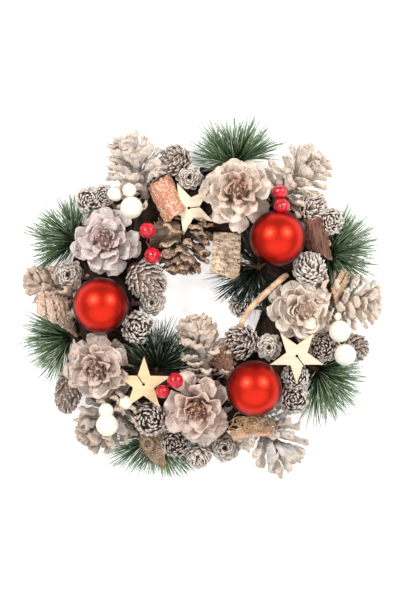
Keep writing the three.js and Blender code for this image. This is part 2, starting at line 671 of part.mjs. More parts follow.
for (const [side, cones] of Object.entries(SMALL_CONES)) {
  addPiece(`small_cones_${side}`, SMALL_CONE, vector(cones[0].at), coneCluster(cones));
}

// Needle sprays: the bearing, length and rise of each twig
const SPRAYS = {
  top: { base: [25, 98, 12], twigs: [[40, 22, 4], [66, 22, 14], [95, 20, 2], [130, 22, 6]] },
  upper_left: { base: [-89, 42, 12], twigs: [[105, 20, 6], [138, 22, 14], [172, 24, 2], [205, 20, 6]] },
  lower_left: { base: [-92, -26, 12], twigs: [[150, 22, 6], [180, 24, 12], [208, 22, 2], [235, 20, 8]] },
  right: { base: [92, 34, 12], twigs: [[64, 20, 10], [36, 24, 4], [8, 22, 12], [-26, 20, 2]] },
  lower_right: { base: [84, -50, 12], twigs: [[-18, 20, 6], [-42, 24, 13], [-66, 25, 3], [-92, 24, 7]] },
  bottom: { base: [-30, -96, 9], twigs: [[-150, 24, 4], [-108, 22, 2], [-72, 20, 4], [-40, 18, 2]] },
  inner_left: { base: [-32, -50, 24], twigs: [[35, 16, 4], [75, 18, 12], [110, 20, 4], [160, 10, 16]] },
  inner_right: { base: [42, 24, 24], twigs: [[140, 14, 4], [188, 18, 4], [215, 20, 10], [245, 14, 4]] },
};
for (const [side, spray] of Object.entries(SPRAYS)) {
  const made = needleSpray({ ...spray, seed: seed++ });
  addPiece(`needles_${side}`, PINE_GREEN, vector(spray.base), made);
}

// The origin is under the middle of the wreath's box, on the face that it lies on
const box = new THREE.Box3().setFromObject(wreath, true);
wreath.position.set(-(box.min.x + box.max.x) / 2, -(box.min.y + box.max.y) / 2, -box.min.z);

export default wreath;
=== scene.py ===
"""Looks of a christmas wreath of pine cones, bark, baubles and frosted needles, lying on its back."""

import logging
import math
from dataclasses import dataclass, field
from enum import Enum
from itertools import chain
from typing import Iterator, Sequence

import bpy
import numpy as np
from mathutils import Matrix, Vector, noise


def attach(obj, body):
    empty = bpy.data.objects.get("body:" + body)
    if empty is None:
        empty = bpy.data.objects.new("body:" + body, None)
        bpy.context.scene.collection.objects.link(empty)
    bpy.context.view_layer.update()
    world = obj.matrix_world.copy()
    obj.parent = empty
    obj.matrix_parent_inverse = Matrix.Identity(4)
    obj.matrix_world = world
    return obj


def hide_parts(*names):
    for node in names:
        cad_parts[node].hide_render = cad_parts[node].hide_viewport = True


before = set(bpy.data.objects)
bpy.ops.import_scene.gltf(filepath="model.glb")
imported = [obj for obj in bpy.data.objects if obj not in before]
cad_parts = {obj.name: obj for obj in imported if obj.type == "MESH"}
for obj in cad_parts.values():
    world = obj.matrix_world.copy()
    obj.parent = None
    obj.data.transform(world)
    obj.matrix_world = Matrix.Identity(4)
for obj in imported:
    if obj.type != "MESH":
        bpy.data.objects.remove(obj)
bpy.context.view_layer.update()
LOG = logging.getLogger("wreath")

Triple = Sequence[float]
Colour = tuple[int, int, int]

# The wreath is laid out in millimetres round its own middle, as its solids are. The shared frame has its
# origin under the middle of their outer box, so each piece is shifted and scaled when its mesh is made.
METRES = 0.001
SHIFT = np.array([1.3126678466796875, -3.3865127563476562, 0.0])
UP = (0.0, 0.0, 1.0)
GOLDEN_ANGLE = math.pi * (3 - math.sqrt(5))
WHITE = (1, 1, 1, 1)

# The ring's middle line, its half width, its height and the height of its widest part
RING_RADIUS = 70.0
RING_HALF_WIDTH = 22.0
RING_HEIGHT = 26.0
RING_WAIST = 10.0

# The baubles' size and the height of their centres, and the gaps to the table and between glued pieces
BAUBLE_RADIUS = 20.0
BAUBLE_HEIGHT = 44.3
CLEAR_OF_TABLE = 0.3
GLUE_GAP = 0.3

# How far apart in the noise two seeds lie, in lumps, and the seeds that push a point along X, Y and Z
SEED_STEP = 17.3
PUSH_SEEDS = (1.0, 2.3, 4.1)

# The least length to divide by, and how steeply a rod starts that takes its first corner from X, not Z
TINY = 1e-9
STEEP = 0.9


def mix(a: float, b: float, share: float) -> float:
    """Returns the value at a share of the way from a to b."""
    return a + (b - a) * share


def smoothstep(value: np.ndarray) -> np.ndarray:
    """Returns values eased between 0 and 1."""
    held = np.clip(value, 0, 1)
    return held * held * (3 - 2 * held)


def unit(vector: Triple) -> np.ndarray:
    """Returns a vector of length one."""
    array = np.asarray(vector, float)
    return array / max(np.linalg.norm(array), TINY)


def bearing(degrees: float, rise: float = 0) -> tuple[float, float, float]:
    """Returns the direction at a bearing in the wreath's plane, raised by an angle."""
    turn, lift = math.radians(degrees), math.radians(rise)
    return math.cos(turn) * math.cos(lift), math.sin(turn) * math.cos(lift), math.sin(lift)


def turned_to(direction: Triple) -> np.ndarray:
    """Returns the rotation that takes +Z to a direction."""
    return np.array(Vector((0, 0, 1)).rotation_difference(Vector(unit(direction))).to_matrix())


def placed(rotation: np.ndarray, at: Triple, size: Triple = (1, 1, 1)) -> np.ndarray:
    """Returns a 4x4 matrix that scales, then turns, then moves."""
    matrix = np.eye(4)
    matrix[:3, :3] = rotation * np.asarray(size, float)
    matrix[:3, 3] = at
    return matrix


def lumps(points: np.ndarray, pitch: float, seed: float = 0.0) -> np.ndarray:
    """Returns smooth noise between about -1 and 1 at each point.

    Args:
        points: places in millimetres.
        pitch: size of a lump in millimetres.
        seed: moves the pattern to another part of the noise.
    """
    moved = points / pitch + seed * SEED_STEP
    return np.array([noise.noise(Vector(place)) for place in moved])


def warped(points: np.ndarray, pitch: float, depth: float) -> np.ndarray:
    """Returns points pushed about by smooth noise, so that copies differ from each other.

    Args:
        points: places in millimetres.
        pitch: size of a lump in millimetres.
        depth: how far a point may move, in millimetres.
    """
    return points + depth * np.stack([lumps(points, pitch, seed) for seed in PUSH_SEEDS], axis=1)


@dataclass
class Shape:
    """A modelled mesh held as arrays in millimetres, ready to be copied.

    Each face is a run of corner numbers; values holds one number per point for each named attribute.
    """

    points: np.ndarray
    corners: np.ndarray
    sides: np.ndarray
    values: dict[str, np.ndarray] = field(default_factory=dict)

    @classmethod
    def taken_from(cls, piece: bpy.types.Object) -> "Shape":
        """Reads an object's mesh and point attributes, and removes the object."""
        mesh = piece.data
        points = np.zeros(len(mesh.vertices) * 3)
        mesh.vertices.foreach_get("co", points)
        corners = np.zeros(len(mesh.loops), int)
        mesh.loops.foreach_get("vertex_index", corners)
        sides = np.zeros(len(mesh.polygons), int)
        mesh.polygons.foreach_get("loop_total", sides)
        values = {}
        for layer in mesh.attributes:
            if layer.domain == "POINT" and layer.data_type == "FLOAT":
                numbers = np.zeros(len(mesh.vertices))
                layer.data.foreach_get("value", numbers)
                values[layer.name] = numbers
        bpy.data.objects.remove(piece)
        bpy.data.meshes.remove(mesh)
        return cls(points.reshape(-1, 3), corners, sides, values)

    def moved(self, matrix: np.ndarray) -> "Shape":
        """Returns a copy under a 4x4 matrix."""
        points = self.points @ matrix[:3, :3].T + matrix[:3, 3]
        return Shape(points, self.corners, self.sides, dict(self.values))

    def steadied(self) -> "Shape":
        """Returns a copy whose points follow their places, and whose faces follow their corners.

        Blender's inset and extrusion number some points and faces in another order on each run.
        """
        order = np.lexsort(self.points.T)
        corners = np.argsort(order)[self.corners]
        faces = []
        for end, count in zip(np.cumsum(self.sides), self.sides):
            face = corners[end - count:end].tolist()
            first = face.index(min(face))
            faces.append(face[first:] + face[:first])
        faces.sort()
        values = {name: numbers[order] for name, numbers in self.values.items()}
        sides = np.array([len(face) for face in faces])
        return Shape(self.points[order], np.concatenate(faces), sides, values)


class Bunch:
    """Collects copies of modelled shapes into one mesh."""

    def __init__(self, *names: str, warps: Sequence[tuple[float, float]] = ()) -> None:
        """Starts an empty bunch.

        Args:
            names: the attributes that its points carry.
            warps: the pitch and depth of each noise that bends the whole, in millimetres.
        """
        self.names = names
        self.warps = warps
        self.shapes: list[Shape] = []

    def add(self, shape: Shape, matrix: np.ndarray | None = None, **values: float) -> None:
        """Adds a copy of a shape.

        Args:
            shape: the modelled shape.
            matrix: its place, or None where the shape is in place.
            values: attributes that are the same all over this copy.
        """
        copy = shape.moved(matrix if matrix is not None else np.eye(4))
        for name, number in values.items():
            copy.values[name] = np.full(len(copy.points), float(number))
        self.shapes.append(copy)

    def build(self, name: str, material: bpy.types.Material) -> bpy.types.Object:
        """Makes the object of all copies, shaded smooth.

        Args:
            name: the piece's name.
            material: its finish.

        Returns:
            The new object, at the origin, its place in its mesh.
        """
        offsets = np.cumsum([0] + [len(shape.points) for shape in self.shapes[:-1]])
        points = np.concatenate([shape.points for shape in self.shapes])
        for pitch, depth in self.warps:
            points = warped(points, pitch, depth)
        points[:, 2] = np.maximum(points[:, 2], CLEAR_OF_TABLE)
        points = (points + SHIFT) * METRES
        corners = np.concatenate([shape.corners + start for shape, start in zip(self.shapes, offsets)])
        sides = np.concatenate([shape.sides for shape in self.shapes])
        mesh = bpy.data.meshes.new(name)
        mesh.vertices.add(len(points))
        mesh.vertices.foreach_set("co", points.astype(np.float32).ravel())
        mesh.loops.add(len(corners))
        mesh.loops.foreach_set("vertex_index", corners.astype(np.int32))
        mesh.polygons.add(len(sides))
        mesh.polygons.foreach_set("loop_start", (np.cumsum(sides) - sides).astype(np.int32))
        mesh.polygons.foreach_set("use_smooth", np.ones(len(sides), bool))
        for key in self.names:
            parts = [shape.values.get(key, np.zeros(len(shape.points))) for shape in self.shapes]
            mesh.attributes.new(key, "FLOAT", "POINT").data.foreach_set("value", np.concatenate(parts))
        mesh.update(calc_edges=True)
        mesh.materials.append(material)
        piece = bpy.data.objects.new(name, mesh)
        bpy.context.scene.collection.objects.link(piece)
        return piece


def declare(piece: bpy.types.Object, slot: str, *nodes: str) -> None:
    """Hands a finished piece to the frame and reports it.

    Args:
        piece: the finished object.
        slot: the record's material slot; not used.
        nodes: the solids that it stands for.
    """
    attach(piece, "root")
    if nodes:
        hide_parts(*nodes)
    LOG.info("%s: %d faces, for %s", piece.name, len(piece.data.polygons), ", ".join(nodes) or "no node")


def deselect() -> None:
    """Deselects every object, so that an operator acts on the new one alone."""
    bpy.ops.object.select_all(action="DESELECT")


def select_only(piece: bpy.types.Object) -> None:
    """Selects one object alone and makes it the active one."""
    deselect()
    piece.select_set(True)
    bpy.context.view_layer.objects.active = piece


def apply_modifier(piece: bpy.types.Object, kind: str, **settings: object) -> None:
    """Adds a modifier with these settings and applies it."""
    bpy.context.view_layer.objects.active = piece
    modifier = piece.modifiers.new(kind.title(), kind)
    for name, value in settings.items():
        setattr(modifier, name, value)
    bpy.ops.object.modifier_apply(modifier=modifier.name)


def select_faces(piece: bpy.types.Object, chosen: Sequence[bool]) -> None:
    """Selects the faces of a piece that are marked True, and opens it for editing."""
    bpy.ops.object.mode_set(mode="EDIT")
    bpy.ops.mesh.select_all(action="DESELECT")
    bpy.ops.mesh.select_mode(type="FACE")
    bpy.ops.object.mode_set(mode="OBJECT")
    piece.data.polygons.foreach_set("select", np.asarray(chosen, bool))
    bpy.ops.object.mode_set(mode="EDIT")


def grid_sheet(columns: int, rows: int) -> tuple[bpy.types.Object, np.ndarray, np.ndarray]:
    """Adds a flat grid that carries its own coordinates as attributes.

    Returns:
        The object, the points' places across it from -1 to 1, and along it from 0 to 1.
    """
    deselect()
    bpy.ops.mesh.primitive_grid_add(x_subdivisions=columns, y_subdivisions=rows, size=2)
    piece = bpy.context.active_object
    points = np.zeros(len(piece.data.vertices) * 3)
    piece.data.vertices.foreach_get("co", points)
    across, along = points[0::3], (points[1::3] + 1) / 2
    for name, numbers in (("across", across), ("along", along)):
        piece.data.attributes.new(name, "FLOAT", "POINT").data.foreach_set("value", numbers)
    return piece, across, along


def set_points(piece: bpy.types.Object, points: np.ndarray) -> None:
    """Moves all points of a piece's mesh."""
    piece.data.vertices.foreach_set("co", np.asarray(points, np.float32).ravel())
    piece.data.update()


def thickened(piece: bpy.types.Object, depth: np.ndarray, rounded: bool) -> Shape:
    """Gives a sheet its wall, which may differ from point to point, and closes its rim.

    Args:
        piece: the sheet, whose upper side keeps its place.
        depth: the wall at each of its points, in the sheet's own units.
        rounded: whether the rim is rounded by one subdivision.

    Returns:
        The closed shape, with the attribute under set to 1 on its lower side.
    """
    count = len(depth)
    trial = 0.1
    apply_modifier(piece, "SOLIDIFY", thickness=trial, offset=-1, use_even_offset=False)
    points = np.zeros(len(piece.data.vertices) * 3)
    piece.data.vertices.foreach_get("co", points)
    points = points.reshape(-1, 3)
    upper, lower = points[:count], points[count:]
    points[count:] = upper + (lower - upper) * (depth / trial)[:, None]
    set_points(piece, points)
    under = np.zeros(len(points))
    under[count:] = 1
    piece.data.attributes.new("under", "FLOAT", "POINT").data.foreach_set("value", under)
    if rounded:
        apply_modifier(piece, "SUBSURF", levels=1, render_levels=1)
    shape = Shape.taken_from(piece)
    across, along = np.abs(shape.values["across"]), shape.values["along"]
    shape.values["rim"] = np.clip(np.maximum(across ** 3 * smoothstep(along * 2), along ** 7), 0, 1)
    return shape


def sweep(paths: np.ndarray, radii: np.ndarray, sides: int) -> Shape:
    """Sweeps round rods along many paths at once.

    Args:
        paths: places, one row of points for each rod.
        radii: the rod's radius at each of those points.
        sides: corners of the rod's section.

    Returns:
        The closed rods as one shape, with the attribute along.
    """
    count, steps = paths.shape[:2]
    ways = np.gradient(paths, axis=1)
    ways /= np.maximum(np.linalg.norm(ways, axis=2, keepdims=True), TINY)
    steep = np.abs(ways[:, 0, 2]) > STEEP
    hint = np.where(steep[:, None], (1.0, 0.0, 0.0), UP)
    turn = np.arange(sides) / sides * 2 * math.pi
    rings = np.zeros((count, steps, sides, 3))
    for step in range(steps):
        way = ways[:, step]
        normal = hint - way * np.sum(hint * way, axis=1, keepdims=True)
        normal /= np.maximum(np.linalg.norm(normal, axis=1, keepdims=True), TINY)
        other = np.cross(way, normal)
        spoke = normal[:, None] * np.cos(turn)[:, None] + other[:, None] * np.sin(turn)[:, None]
        rings[:, step] = paths[:, step, None] + spoke * radii[:, step, None, None]
        hint = normal
    block = steps * sides
    start = np.arange(count)[:, None, None] * (block + 2)
    row = np.arange(steps - 1)[None, :, None] * sides
    side, after = np.arange(sides), (np.arange(sides) + 1) % sides
    quads = np.stack([start + row + side, start + row + after,
                      start + row + sides + after, start + row + sides + side], axis=-1)
    first = start[:, 0]
    last = first + block - sides
    near = np.stack([first + block + 0 * side, first + after, first + side], axis=-1)
    far = np.stack([first + block + 1 + 0 * side, last + side, last + after], axis=-1)
    ends = np.stack([paths[:, 0], paths[:, -1]], axis=1)
    points = np.concatenate([rings.reshape(count, block, 3), ends], axis=1).reshape(-1, 3)
    share = np.repeat(np.linspace(0, 1, steps), sides)
    along = np.tile(np.concatenate([share, [0, 1]]), count)
    corners = np.concatenate([quads.ravel(), near.ravel(), far.ravel()])
    faces = np.concatenate([np.full(quads.size // 4, 4), np.full((near.size + far.size) // 3, 3)])
    return Shape(points, corners, faces, {"along": along})


def curve_through(places: Sequence[Triple], steps: int) -> np.ndarray:
    """Returns points of a smooth curve through a few places."""
    knots = np.asarray(places, float)
    padded = np.concatenate([[2 * knots[0] - knots[1]], knots, [2 * knots[-1] - knots[-2]]])
    points = []
    for share in np.linspace(0, len(knots) - 1, steps):
        piece = min(int(share), len(knots) - 2)
        t = share - piece
        a, b, c, d = padded[piece:piece + 4]
        points.append(0.5 * (2 * b + (c - a) * t + (2 * a - 5 * b + 4 * c - d) * t * t
                             + (3 * b - a - 3 * c + d) * t ** 3))
    return np.array(points)


def rod(places: Sequence[Triple], radius: float, sides: int = 10, steps: int = 12,
        taper: float = 1.0) -> Shape:
    """Returns one closed rod on a smooth curve.

    Args:
        places: the places that it passes.
        radius: its radius at the start.
        sides: corners of its section.
        steps: points along it.
        taper: its radius at the end, as a share of the first.
    """
    path = curve_through(places, steps) if len(places) > 2 else np.linspace(places[0], places[1], steps)
    return sweep(path[None], radius * np.linspace(1, taper, steps)[None], sides)


def ring_seat(place: Triple) -> tuple[float, float, float]:
    """Returns the nearest place inside the ring, where a stalk or wire ends."""
    reach = math.hypot(place[0], place[1])
    return place[0] / reach * RING_RADIUS, place[1] / reach * RING_RADIUS, RING_WAIST


# Shader maths


class Signal:
    """A shader socket that takes part in Python arithmetic."""

    def __init__(self, paint: "Paint", socket: bpy.types.NodeSocket) -> None:
        """Wraps an output socket of a paint's tree."""
        self.paint = paint
        self.socket = socket

    def _math(self, operation: str, first: object, second: object = 0.0) -> "Signal":
        """Adds a Math node and returns its result."""
        return self.paint.node("ShaderNodeMath", {"operation": operation}, {0: first, 1: second})

    def __add__(self, other: object) -> "Signal":
        """Returns the sum."""
        return self._math("ADD", self, other)

    __radd__ = __add__

    def __sub__(self, other: object) -> "Signal":
        """Returns the difference."""
        return self._math("SUBTRACT", self, other)

    def __rsub__(self, other: object) -> "Signal":
        """Returns the difference from a number on the left."""
        return self._math("SUBTRACT", other, self)

    def __mul__(self, other: object) -> "Signal":
        """Returns the product."""
        return self._math("MULTIPLY", self, other)

    __rmul__ = __mul__

    def sharpened(self, low: float, high: float) -> "Signal":
        """Returns 0 below low and 1 above high, eased between."""
        return self.paint.node("ShaderNodeMapRange", {"interpolation_type": "SMOOTHSTEP"},
                               {"Value": self, "From Min": low, "From Max": high})


def dimmed(colour: Colour, share: float) -> Colour:
    """Returns a colour at a share of its brightness."""
    return tuple(int(channel * share) for channel in colour)


def linear(colour: Colour) -> tuple[float, float, float, float]:
    """Returns a colour given as 0 to 255 in the linear form that shaders use."""
    shares = [channel / 255 for channel in colour]
    return tuple(s / 12.92 if s <= 0.04045 else ((s + 0.055) / 1.055) ** 2.4 for s in shares) + (1.0,)


class Paint:
    """A material under construction: one principled shader and the nodes that feed it."""

    def __init__(self, name: str, **constants: float) -> None:
        """Starts a material.

        Args:
            name: the material's name.
            constants: numbers for the shader's own sockets, with spaces written as underscores.
        """
        self.material = bpy.data.materials.new(name)
        self.material.use_nodes = True
        self.tree = self.material.node_tree
        self.shader = next(n for n in self.tree.nodes if n.type == "BSDF_PRINCIPLED")
        for key, value in constants.items():
            self.shader.inputs[key.replace("_", " ")].default_value = value

    def node(self, kind: str, settings: dict | None = None, sockets: dict | None = None,
             output: str | int = 0) -> Signal:
        """Adds a node.

        Args:
            kind: the node's type.
            settings: its options.
            sockets: values or signals for its sockets, by name, identifier or number.
            output: the output that is returned.

        Returns:
            The chosen output.
        """
        node = self.tree.nodes.new(kind)
        for name, value in (settings or {}).items():
            setattr(node, name, value)
        for key, value in (sockets or {}).items():
            if isinstance(key, int):
                socket = node.inputs[key]
            else:
                socket = next((s for s in node.inputs if s.identifier == key), None) or node.inputs[key]
            if isinstance(value, Signal):
                self.tree.links.new(value.socket, socket)
            else:
                socket.default_value = value
        chosen = next((o for o in node.outputs if o.identifier == output), None)
        return Signal(self, chosen or node.outputs[output])

    def attribute(self, name: str) -> Signal:
        """Returns a point attribute of the piece."""
        return self.node("ShaderNodeAttribute", {"attribute_name": name}, output="Fac")

    def place(self) -> Signal:
        """Returns the place on the piece, in metres."""
        return self.node("ShaderNodeTexCoord", output="Object")

    def vector(self, x: object, y: object, z: object) -> Signal:
        """Joins three numbers."""
        return self.node("ShaderNodeCombineXYZ", None, {"X": x, "Y": y, "Z": z})

    def noise(self, scale: float, vector: Signal | None = None, detail: float = 4,
              rough: float = 0.55) -> Signal:
        """Returns noise between 0 and 1.

        Args:
            scale: waves a metre, or a unit of the vector.
            vector: what it follows, or None for the place on the piece.
            detail: how many finer waves are laid over the first.
            rough: how strong the finer waves are.
        """
        return self.node("ShaderNodeTexNoise", None, {"Vector": vector or self.place(), "Scale": scale,
                                                      "Detail": detail, "Roughness": rough})

    def cells(self, scale: float) -> Signal:
        """Returns the distance to the nearest of many scattered points, so many a metre."""
        return self.node("ShaderNodeTexVoronoi", None, {"Vector": self.place(), "Scale": scale})

    def blend(self, share: object, first: object, second: object) -> Signal:
        """Mixes two colours."""
        ends = [linear(c) if isinstance(c, tuple) else c for c in (first, second)]
        return self.node("ShaderNodeMix", {"data_type": "RGBA"},
                         {"Factor_Float": share, "A_Color": ends[0], "B_Color": ends[1]}, "Result_Color")

    def finish(self, colour: Signal, roughness: object, height: Signal | None = None,
               depth: float = 0.4) -> bpy.types.Material:
        """Connects the shader.

        Args:
            colour: the base colour.
            roughness: a signal or a number.
            height: the relief of the surface, from 0 to 1.
            depth: the relief's depth in millimetres.

        Returns:
            The finished material.
        """
        self.tree.links.new(colour.socket, self.shader.inputs["Base Color"])
        if isinstance(roughness, Signal):
            self.tree.links.new(roughness.socket, self.shader.inputs["Roughness"])
        else:
            self.shader.inputs["Roughness"].default_value = roughness
        if height is not None:
            bump = self.node("ShaderNodeBump", None,
                             {"Strength": 1.0, "Distance": depth * METRES, "Height": height}, "Normal")
            self.tree.links.new(bump.socket, self.shader.inputs["Normal"])
        return self.material


@dataclass(frozen=True)
class ConeFinish:
    """Whitewashed pine cone scales: brown wood under streaky chalk paint, worn along the edges.

    Cover sets how much of the wood the chalk hides, worn and pad how much of it is gone from the rims
    and tips, and grooved how dark the veins are. Centre sets how brown the middle of an open cone is,
    hollow how much painted shade darkens the roots, and shadow how much the lower sides darken, partly
    as thinner chalk and partly as painted shade.
    """

    name: str
    wash: Colour = (226, 213, 205)
    wood: Colour = (112, 82, 66)
    edge: Colour = (176, 126, 104)
    deep: Colour = (58, 38, 28)
    cover: float = 0.86
    worn: float = 0.6
    pad: float = 0.0
    grooved: float = 0.35
    centre: float = 0.6
    hollow_shade: float = 0.75
    shadow: float = 0.3

    def material(self) -> bpy.types.Material:
        """Makes the material from the scales' own attributes."""
        paint = Paint(f"cone_{self.name}", Specular_IOR_Level=0.2)
        along, across = paint.attribute("along"), paint.attribute("across")
        rim, under, tone = paint.attribute("rim"), paint.attribute("under"), paint.attribute("tone")
        frost = paint.attribute("frost")
        lane = paint.vector(across * 3.0, along * 0.5, tone * 61.0)
        streaks = paint.noise(3.2, lane, 5, 0.62)
        veins = paint.noise(9.0, lane, 4, 0.6)
        crumbs = paint.noise(620, detail=5, rough=0.65)
        patches = paint.noise(130, detail=3)
        middle = 0.625 - (self.cover - 0.5) * 0.3
        paintwork = streaks * 0.5 + crumbs * 0.35 + patches * 0.4
        # Painted shade and thinner chalk: the chalk thins on the scales' lower sides, by the share that
        # shadow sets.
        chalk = paintwork.sharpened(middle - 0.06, middle + 0.07) * (1 - under * self.shadow)
        wood = paint.blend(veins.sharpened(0.3, 0.7), self.deep, self.wood)
        tinted = paint.blend(tone * 0.3 + patches * 0.3, self.wash, dimmed(self.wash, 0.9))
        face = paint.blend(chalk, wood, tinted)
        grooves = (1 - veins.sharpened(0.34, 0.5)) * self.grooved
        lined = paint.blend(grooves, face, self.wood)
        worn = (rim * 0.55 + crumbs * 0.8 + patches * 0.3).sharpened(0.95, 1.25) * self.worn
        edged = paint.blend(worn, lined, self.edge)
        pad = (along * 0.6 + streaks * 0.5 + crumbs * 0.4).sharpened(0.95, 1.15) * self.pad
        padded = paint.blend(pad, edged, self.edge)
        warm = paint.blend(frost * self.centre * crumbs.sharpened(0.3, 0.6), padded, self.edge)
        # Painted shade: the scales darken to the deep colour towards their roots, down in the cone.
        root = 1 - along.sharpened(0.0, 0.46)
        colour = paint.blend(root * self.hollow_shade, warm, self.deep)
        relief = veins * 0.4 + crumbs * 0.5 + chalk * 0.15
        return paint.finish(colour, 0.93 - chalk * 0.18, relief, 0.34)


@dataclass(frozen=True)
class SmallConeFinish:
    """Small cones: dark scales with white rims, or frosted nearly all over where frost is 1."""

    dark: Colour = (116, 88, 76)
    pale: Colour = (196, 178, 158)
    frosting: Colour = (244, 236, 228)

    def material(self) -> bpy.types.Material:
        """Makes the material from the scales' own attributes."""
        paint = Paint("cone_small", Specular_IOR_Level=0.25)
        along, across = paint.attribute("along"), paint.attribute("across")
        rim, tone, frost = paint.attribute("rim"), paint.attribute("tone"), paint.attribute("frost")
        lane = paint.vector(across * 2.0, along * 0.8, tone * 53.0)
        streaks, crumbs = paint.noise(4.0, lane, 4, 0.6), paint.noise(900, detail=4, rough=0.65)
        body = paint.blend(frost * 0.9 + streaks * 0.5 - 0.15, self.dark, self.pale)
        tip = along.sharpened(0.55, 1.0)
        dust = rim * 0.2 + tip * 0.28 + crumbs * 0.75 + streaks * 0.45 + frost * 0.34
        snow = dust.sharpened(0.94, 1.24)
        dusted = paint.blend(snow * 0.88, body, self.frosting)
        # Painted shade: the scales darken towards their roots, deep between their neighbours.
        root = 1 - along.sharpened(0.1, 0.6)
        colour = paint.blend(root * 0.7, dusted, dimmed(self.dark, 0.5))
        return paint.finish(colour, 0.9 - snow * 0.15, streaks * 0.4 + crumbs * 0.4 + snow * 0.3, 0.14)


@dataclass(frozen=True)
class NeedleFinish:
    """Artificial pine needles: deep green, lighter on some, flocked towards the tips, with painted shade at
    the roots.
    """

    name: str = "outer"
    shade: Colour = (24, 46, 28)
    leaf: Colour = (74, 108, 70)
    light: Colour = (164, 184, 140)
    snow: Colour = (232, 236, 228)

    def material(self) -> bpy.types.Material:
        """Makes the material from the needles' own attributes."""
        paint = Paint(f"pine_needles_{self.name}", Specular_IOR_Level=0.4)
        along, tone = paint.attribute("along"), paint.attribute("tone")
        patches, crumbs = paint.noise(90, detail=3), paint.noise(700, detail=3)
        green = paint.blend(tone.sharpened(0.35, 1.0) * 0.8 + along * 0.15, self.leaf, self.light)
        # Painted shade: each needle darkens towards the twig that it leaves.
        deep = paint.blend(along.sharpened(0.05, 0.6), self.shade, green)
        flock = (along * 0.5 + tone * 0.22 + patches * 0.42 + crumbs * 0.35).sharpened(0.88, 1.12)
        colour = paint.blend(flock * 0.8, deep, self.snow)
        return paint.finish(colour, 0.55 + flock * 0.35, crumbs, 0.1)


@dataclass(frozen=True)
class BaubleFinish:
    """Satin red lacquer over a metallic ground, with painted shade low down on the ball."""

    red: Colour = (240, 52, 34)
    deep: Colour = (132, 4, 10)

    def material(self) -> bpy.types.Material:
        """Makes the lacquer: painted shade and dark reflection low down among the neighbours; faint clouds
        and dust.
        """
        paint = Paint("bauble_lacquer", Metallic=0.97)
        level = paint.attribute("level")
        cloud, dust = paint.noise(60, detail=3), paint.noise(2600, detail=2)
        # Painted shade and dark reflection: the lacquer is red on top and darkens to the deep colour round
        # its middle and below.
        colour = paint.blend(level.sharpened(0.3, 0.9) - cloud * 0.08, self.deep, self.red)
        return paint.finish(colour, 0.3 + cloud * 0.08 + dust * 0.04, dust, 0.02)


@dataclass(frozen=True)
class MetalFinish:
    """Thin stamped metal, brushed and a little tarnished."""

    bright: Colour = (206, 200, 190)
    dull: Colour = (150, 142, 130)

    def material(self) -> bpy.types.Material:
        """Makes the metal."""
        paint = Paint("cap_metal", Metallic=1.0)
        tarnish, scratch = paint.noise(350, detail=4), paint.noise(1800, detail=2)
        colour = paint.blend(tarnish.sharpened(0.4, 0.7), self.bright, self.dull)
        return paint.finish(colour, 0.25 + tarnish * 0.25, scratch, 0.04)


@dataclass(frozen=True)
class FoamFinish:
    """Cream foam balls with a crumbly, faintly pearly skin."""

    cream: Colour = (250, 245, 230)
    hollow_shade: Colour = (226, 214, 188)

    def material(self) -> bpy.types.Material:
        """Makes the foam skin."""
        paint = Paint("cream_foam", Specular_IOR_Level=0.35)
        crumbs, cells = paint.noise(900, detail=5, rough=0.65), paint.cells(1100)
        # Painted shade: the skin darkens in the pits between its crumbs.
        colour = paint.blend(crumbs.sharpened(0.5, 0.32), self.cream, self.hollow_shade)
        return paint.finish(colour, 0.62, crumbs * 0.6 + cells * 0.5, 0.18)


@dataclass(frozen=True)
class BerryFinish:
    """Lacquered red berries under grains of sugar."""

    red: Colour = (236, 24, 52)
    dark: Colour = (176, 6, 28)
    sugar: Colour = (255, 196, 204)

    def material(self) -> bpy.types.Material:
        """Makes the berry skin; the attribute frost adds more sugar."""
        paint = Paint("sugared_berry", Coat_Weight=0.6, Coat_Roughness=0.12)
        frost = paint.attribute("frost")
        grains, cloud = paint.cells(1150), paint.noise(210, detail=4)
        skin = paint.blend(cloud.sharpened(0.35, 0.65), self.dark, self.red)
        crystals = ((1 - grains) * 0.7 + cloud * 0.35 + frost * 0.16).sharpened(0.9, 1.04)
        colour = paint.blend(crystals * (0.45 + frost * 0.35), skin, self.sugar)
        return paint.finish(colour, 0.2 + crystals * 0.2, 1 - grains, 0.12)


@dataclass(frozen=True)
class BarkFinish:
    """Bark: furrowed along its grain, with lichen or chalk on the ridges and pale broken rims.

    Cover is the share that lichen covers, and furrows how many waves of grain lie across the sheet.
    """

    name: str
    ridge: Colour
    furrow: Colour
    lichen: Colour
    cover: float
    rim: Colour
    inner: Colour = (168, 128, 92)
    furrows: float = 5.0

    def material(self) -> bpy.types.Material:
        """Makes the bark from the sheet's own attributes."""
        paint = Paint(f"bark_{self.name}", Specular_IOR_Level=0.2)
        along, across = paint.attribute("along"), paint.attribute("across")
        rim, under, tone = paint.attribute("rim"), paint.attribute("under"), paint.attribute("tone")
        lane = paint.vector(along * 1.2, across * self.furrows, tone * 41.0)
        grain, crumbs = paint.noise(2.8, lane, 6, 0.66), paint.noise(760, detail=5, rough=0.68)
        patches = paint.noise(190, detail=4)
        body = paint.blend(grain.sharpened(0.34, 0.62), self.furrow, self.ridge)
        fewest = 0.86 - self.cover * 0.34
        flecks = (patches * 0.3 + crumbs * 0.9).sharpened(fewest, 0.94 - self.cover * 0.34)
        outer = paint.blend(flecks * 0.85, body, self.lichen)
        edged = paint.blend(rim.sharpened(0.72, 0.96) * 0.8, outer, self.rim)
        back = paint.blend(grain, self.inner, self.rim)
        colour = paint.blend(under.sharpened(0.3, 0.7), edged, back)
        return paint.finish(colour, 0.92, grain * 0.7 + crumbs * 0.5, 0.25)


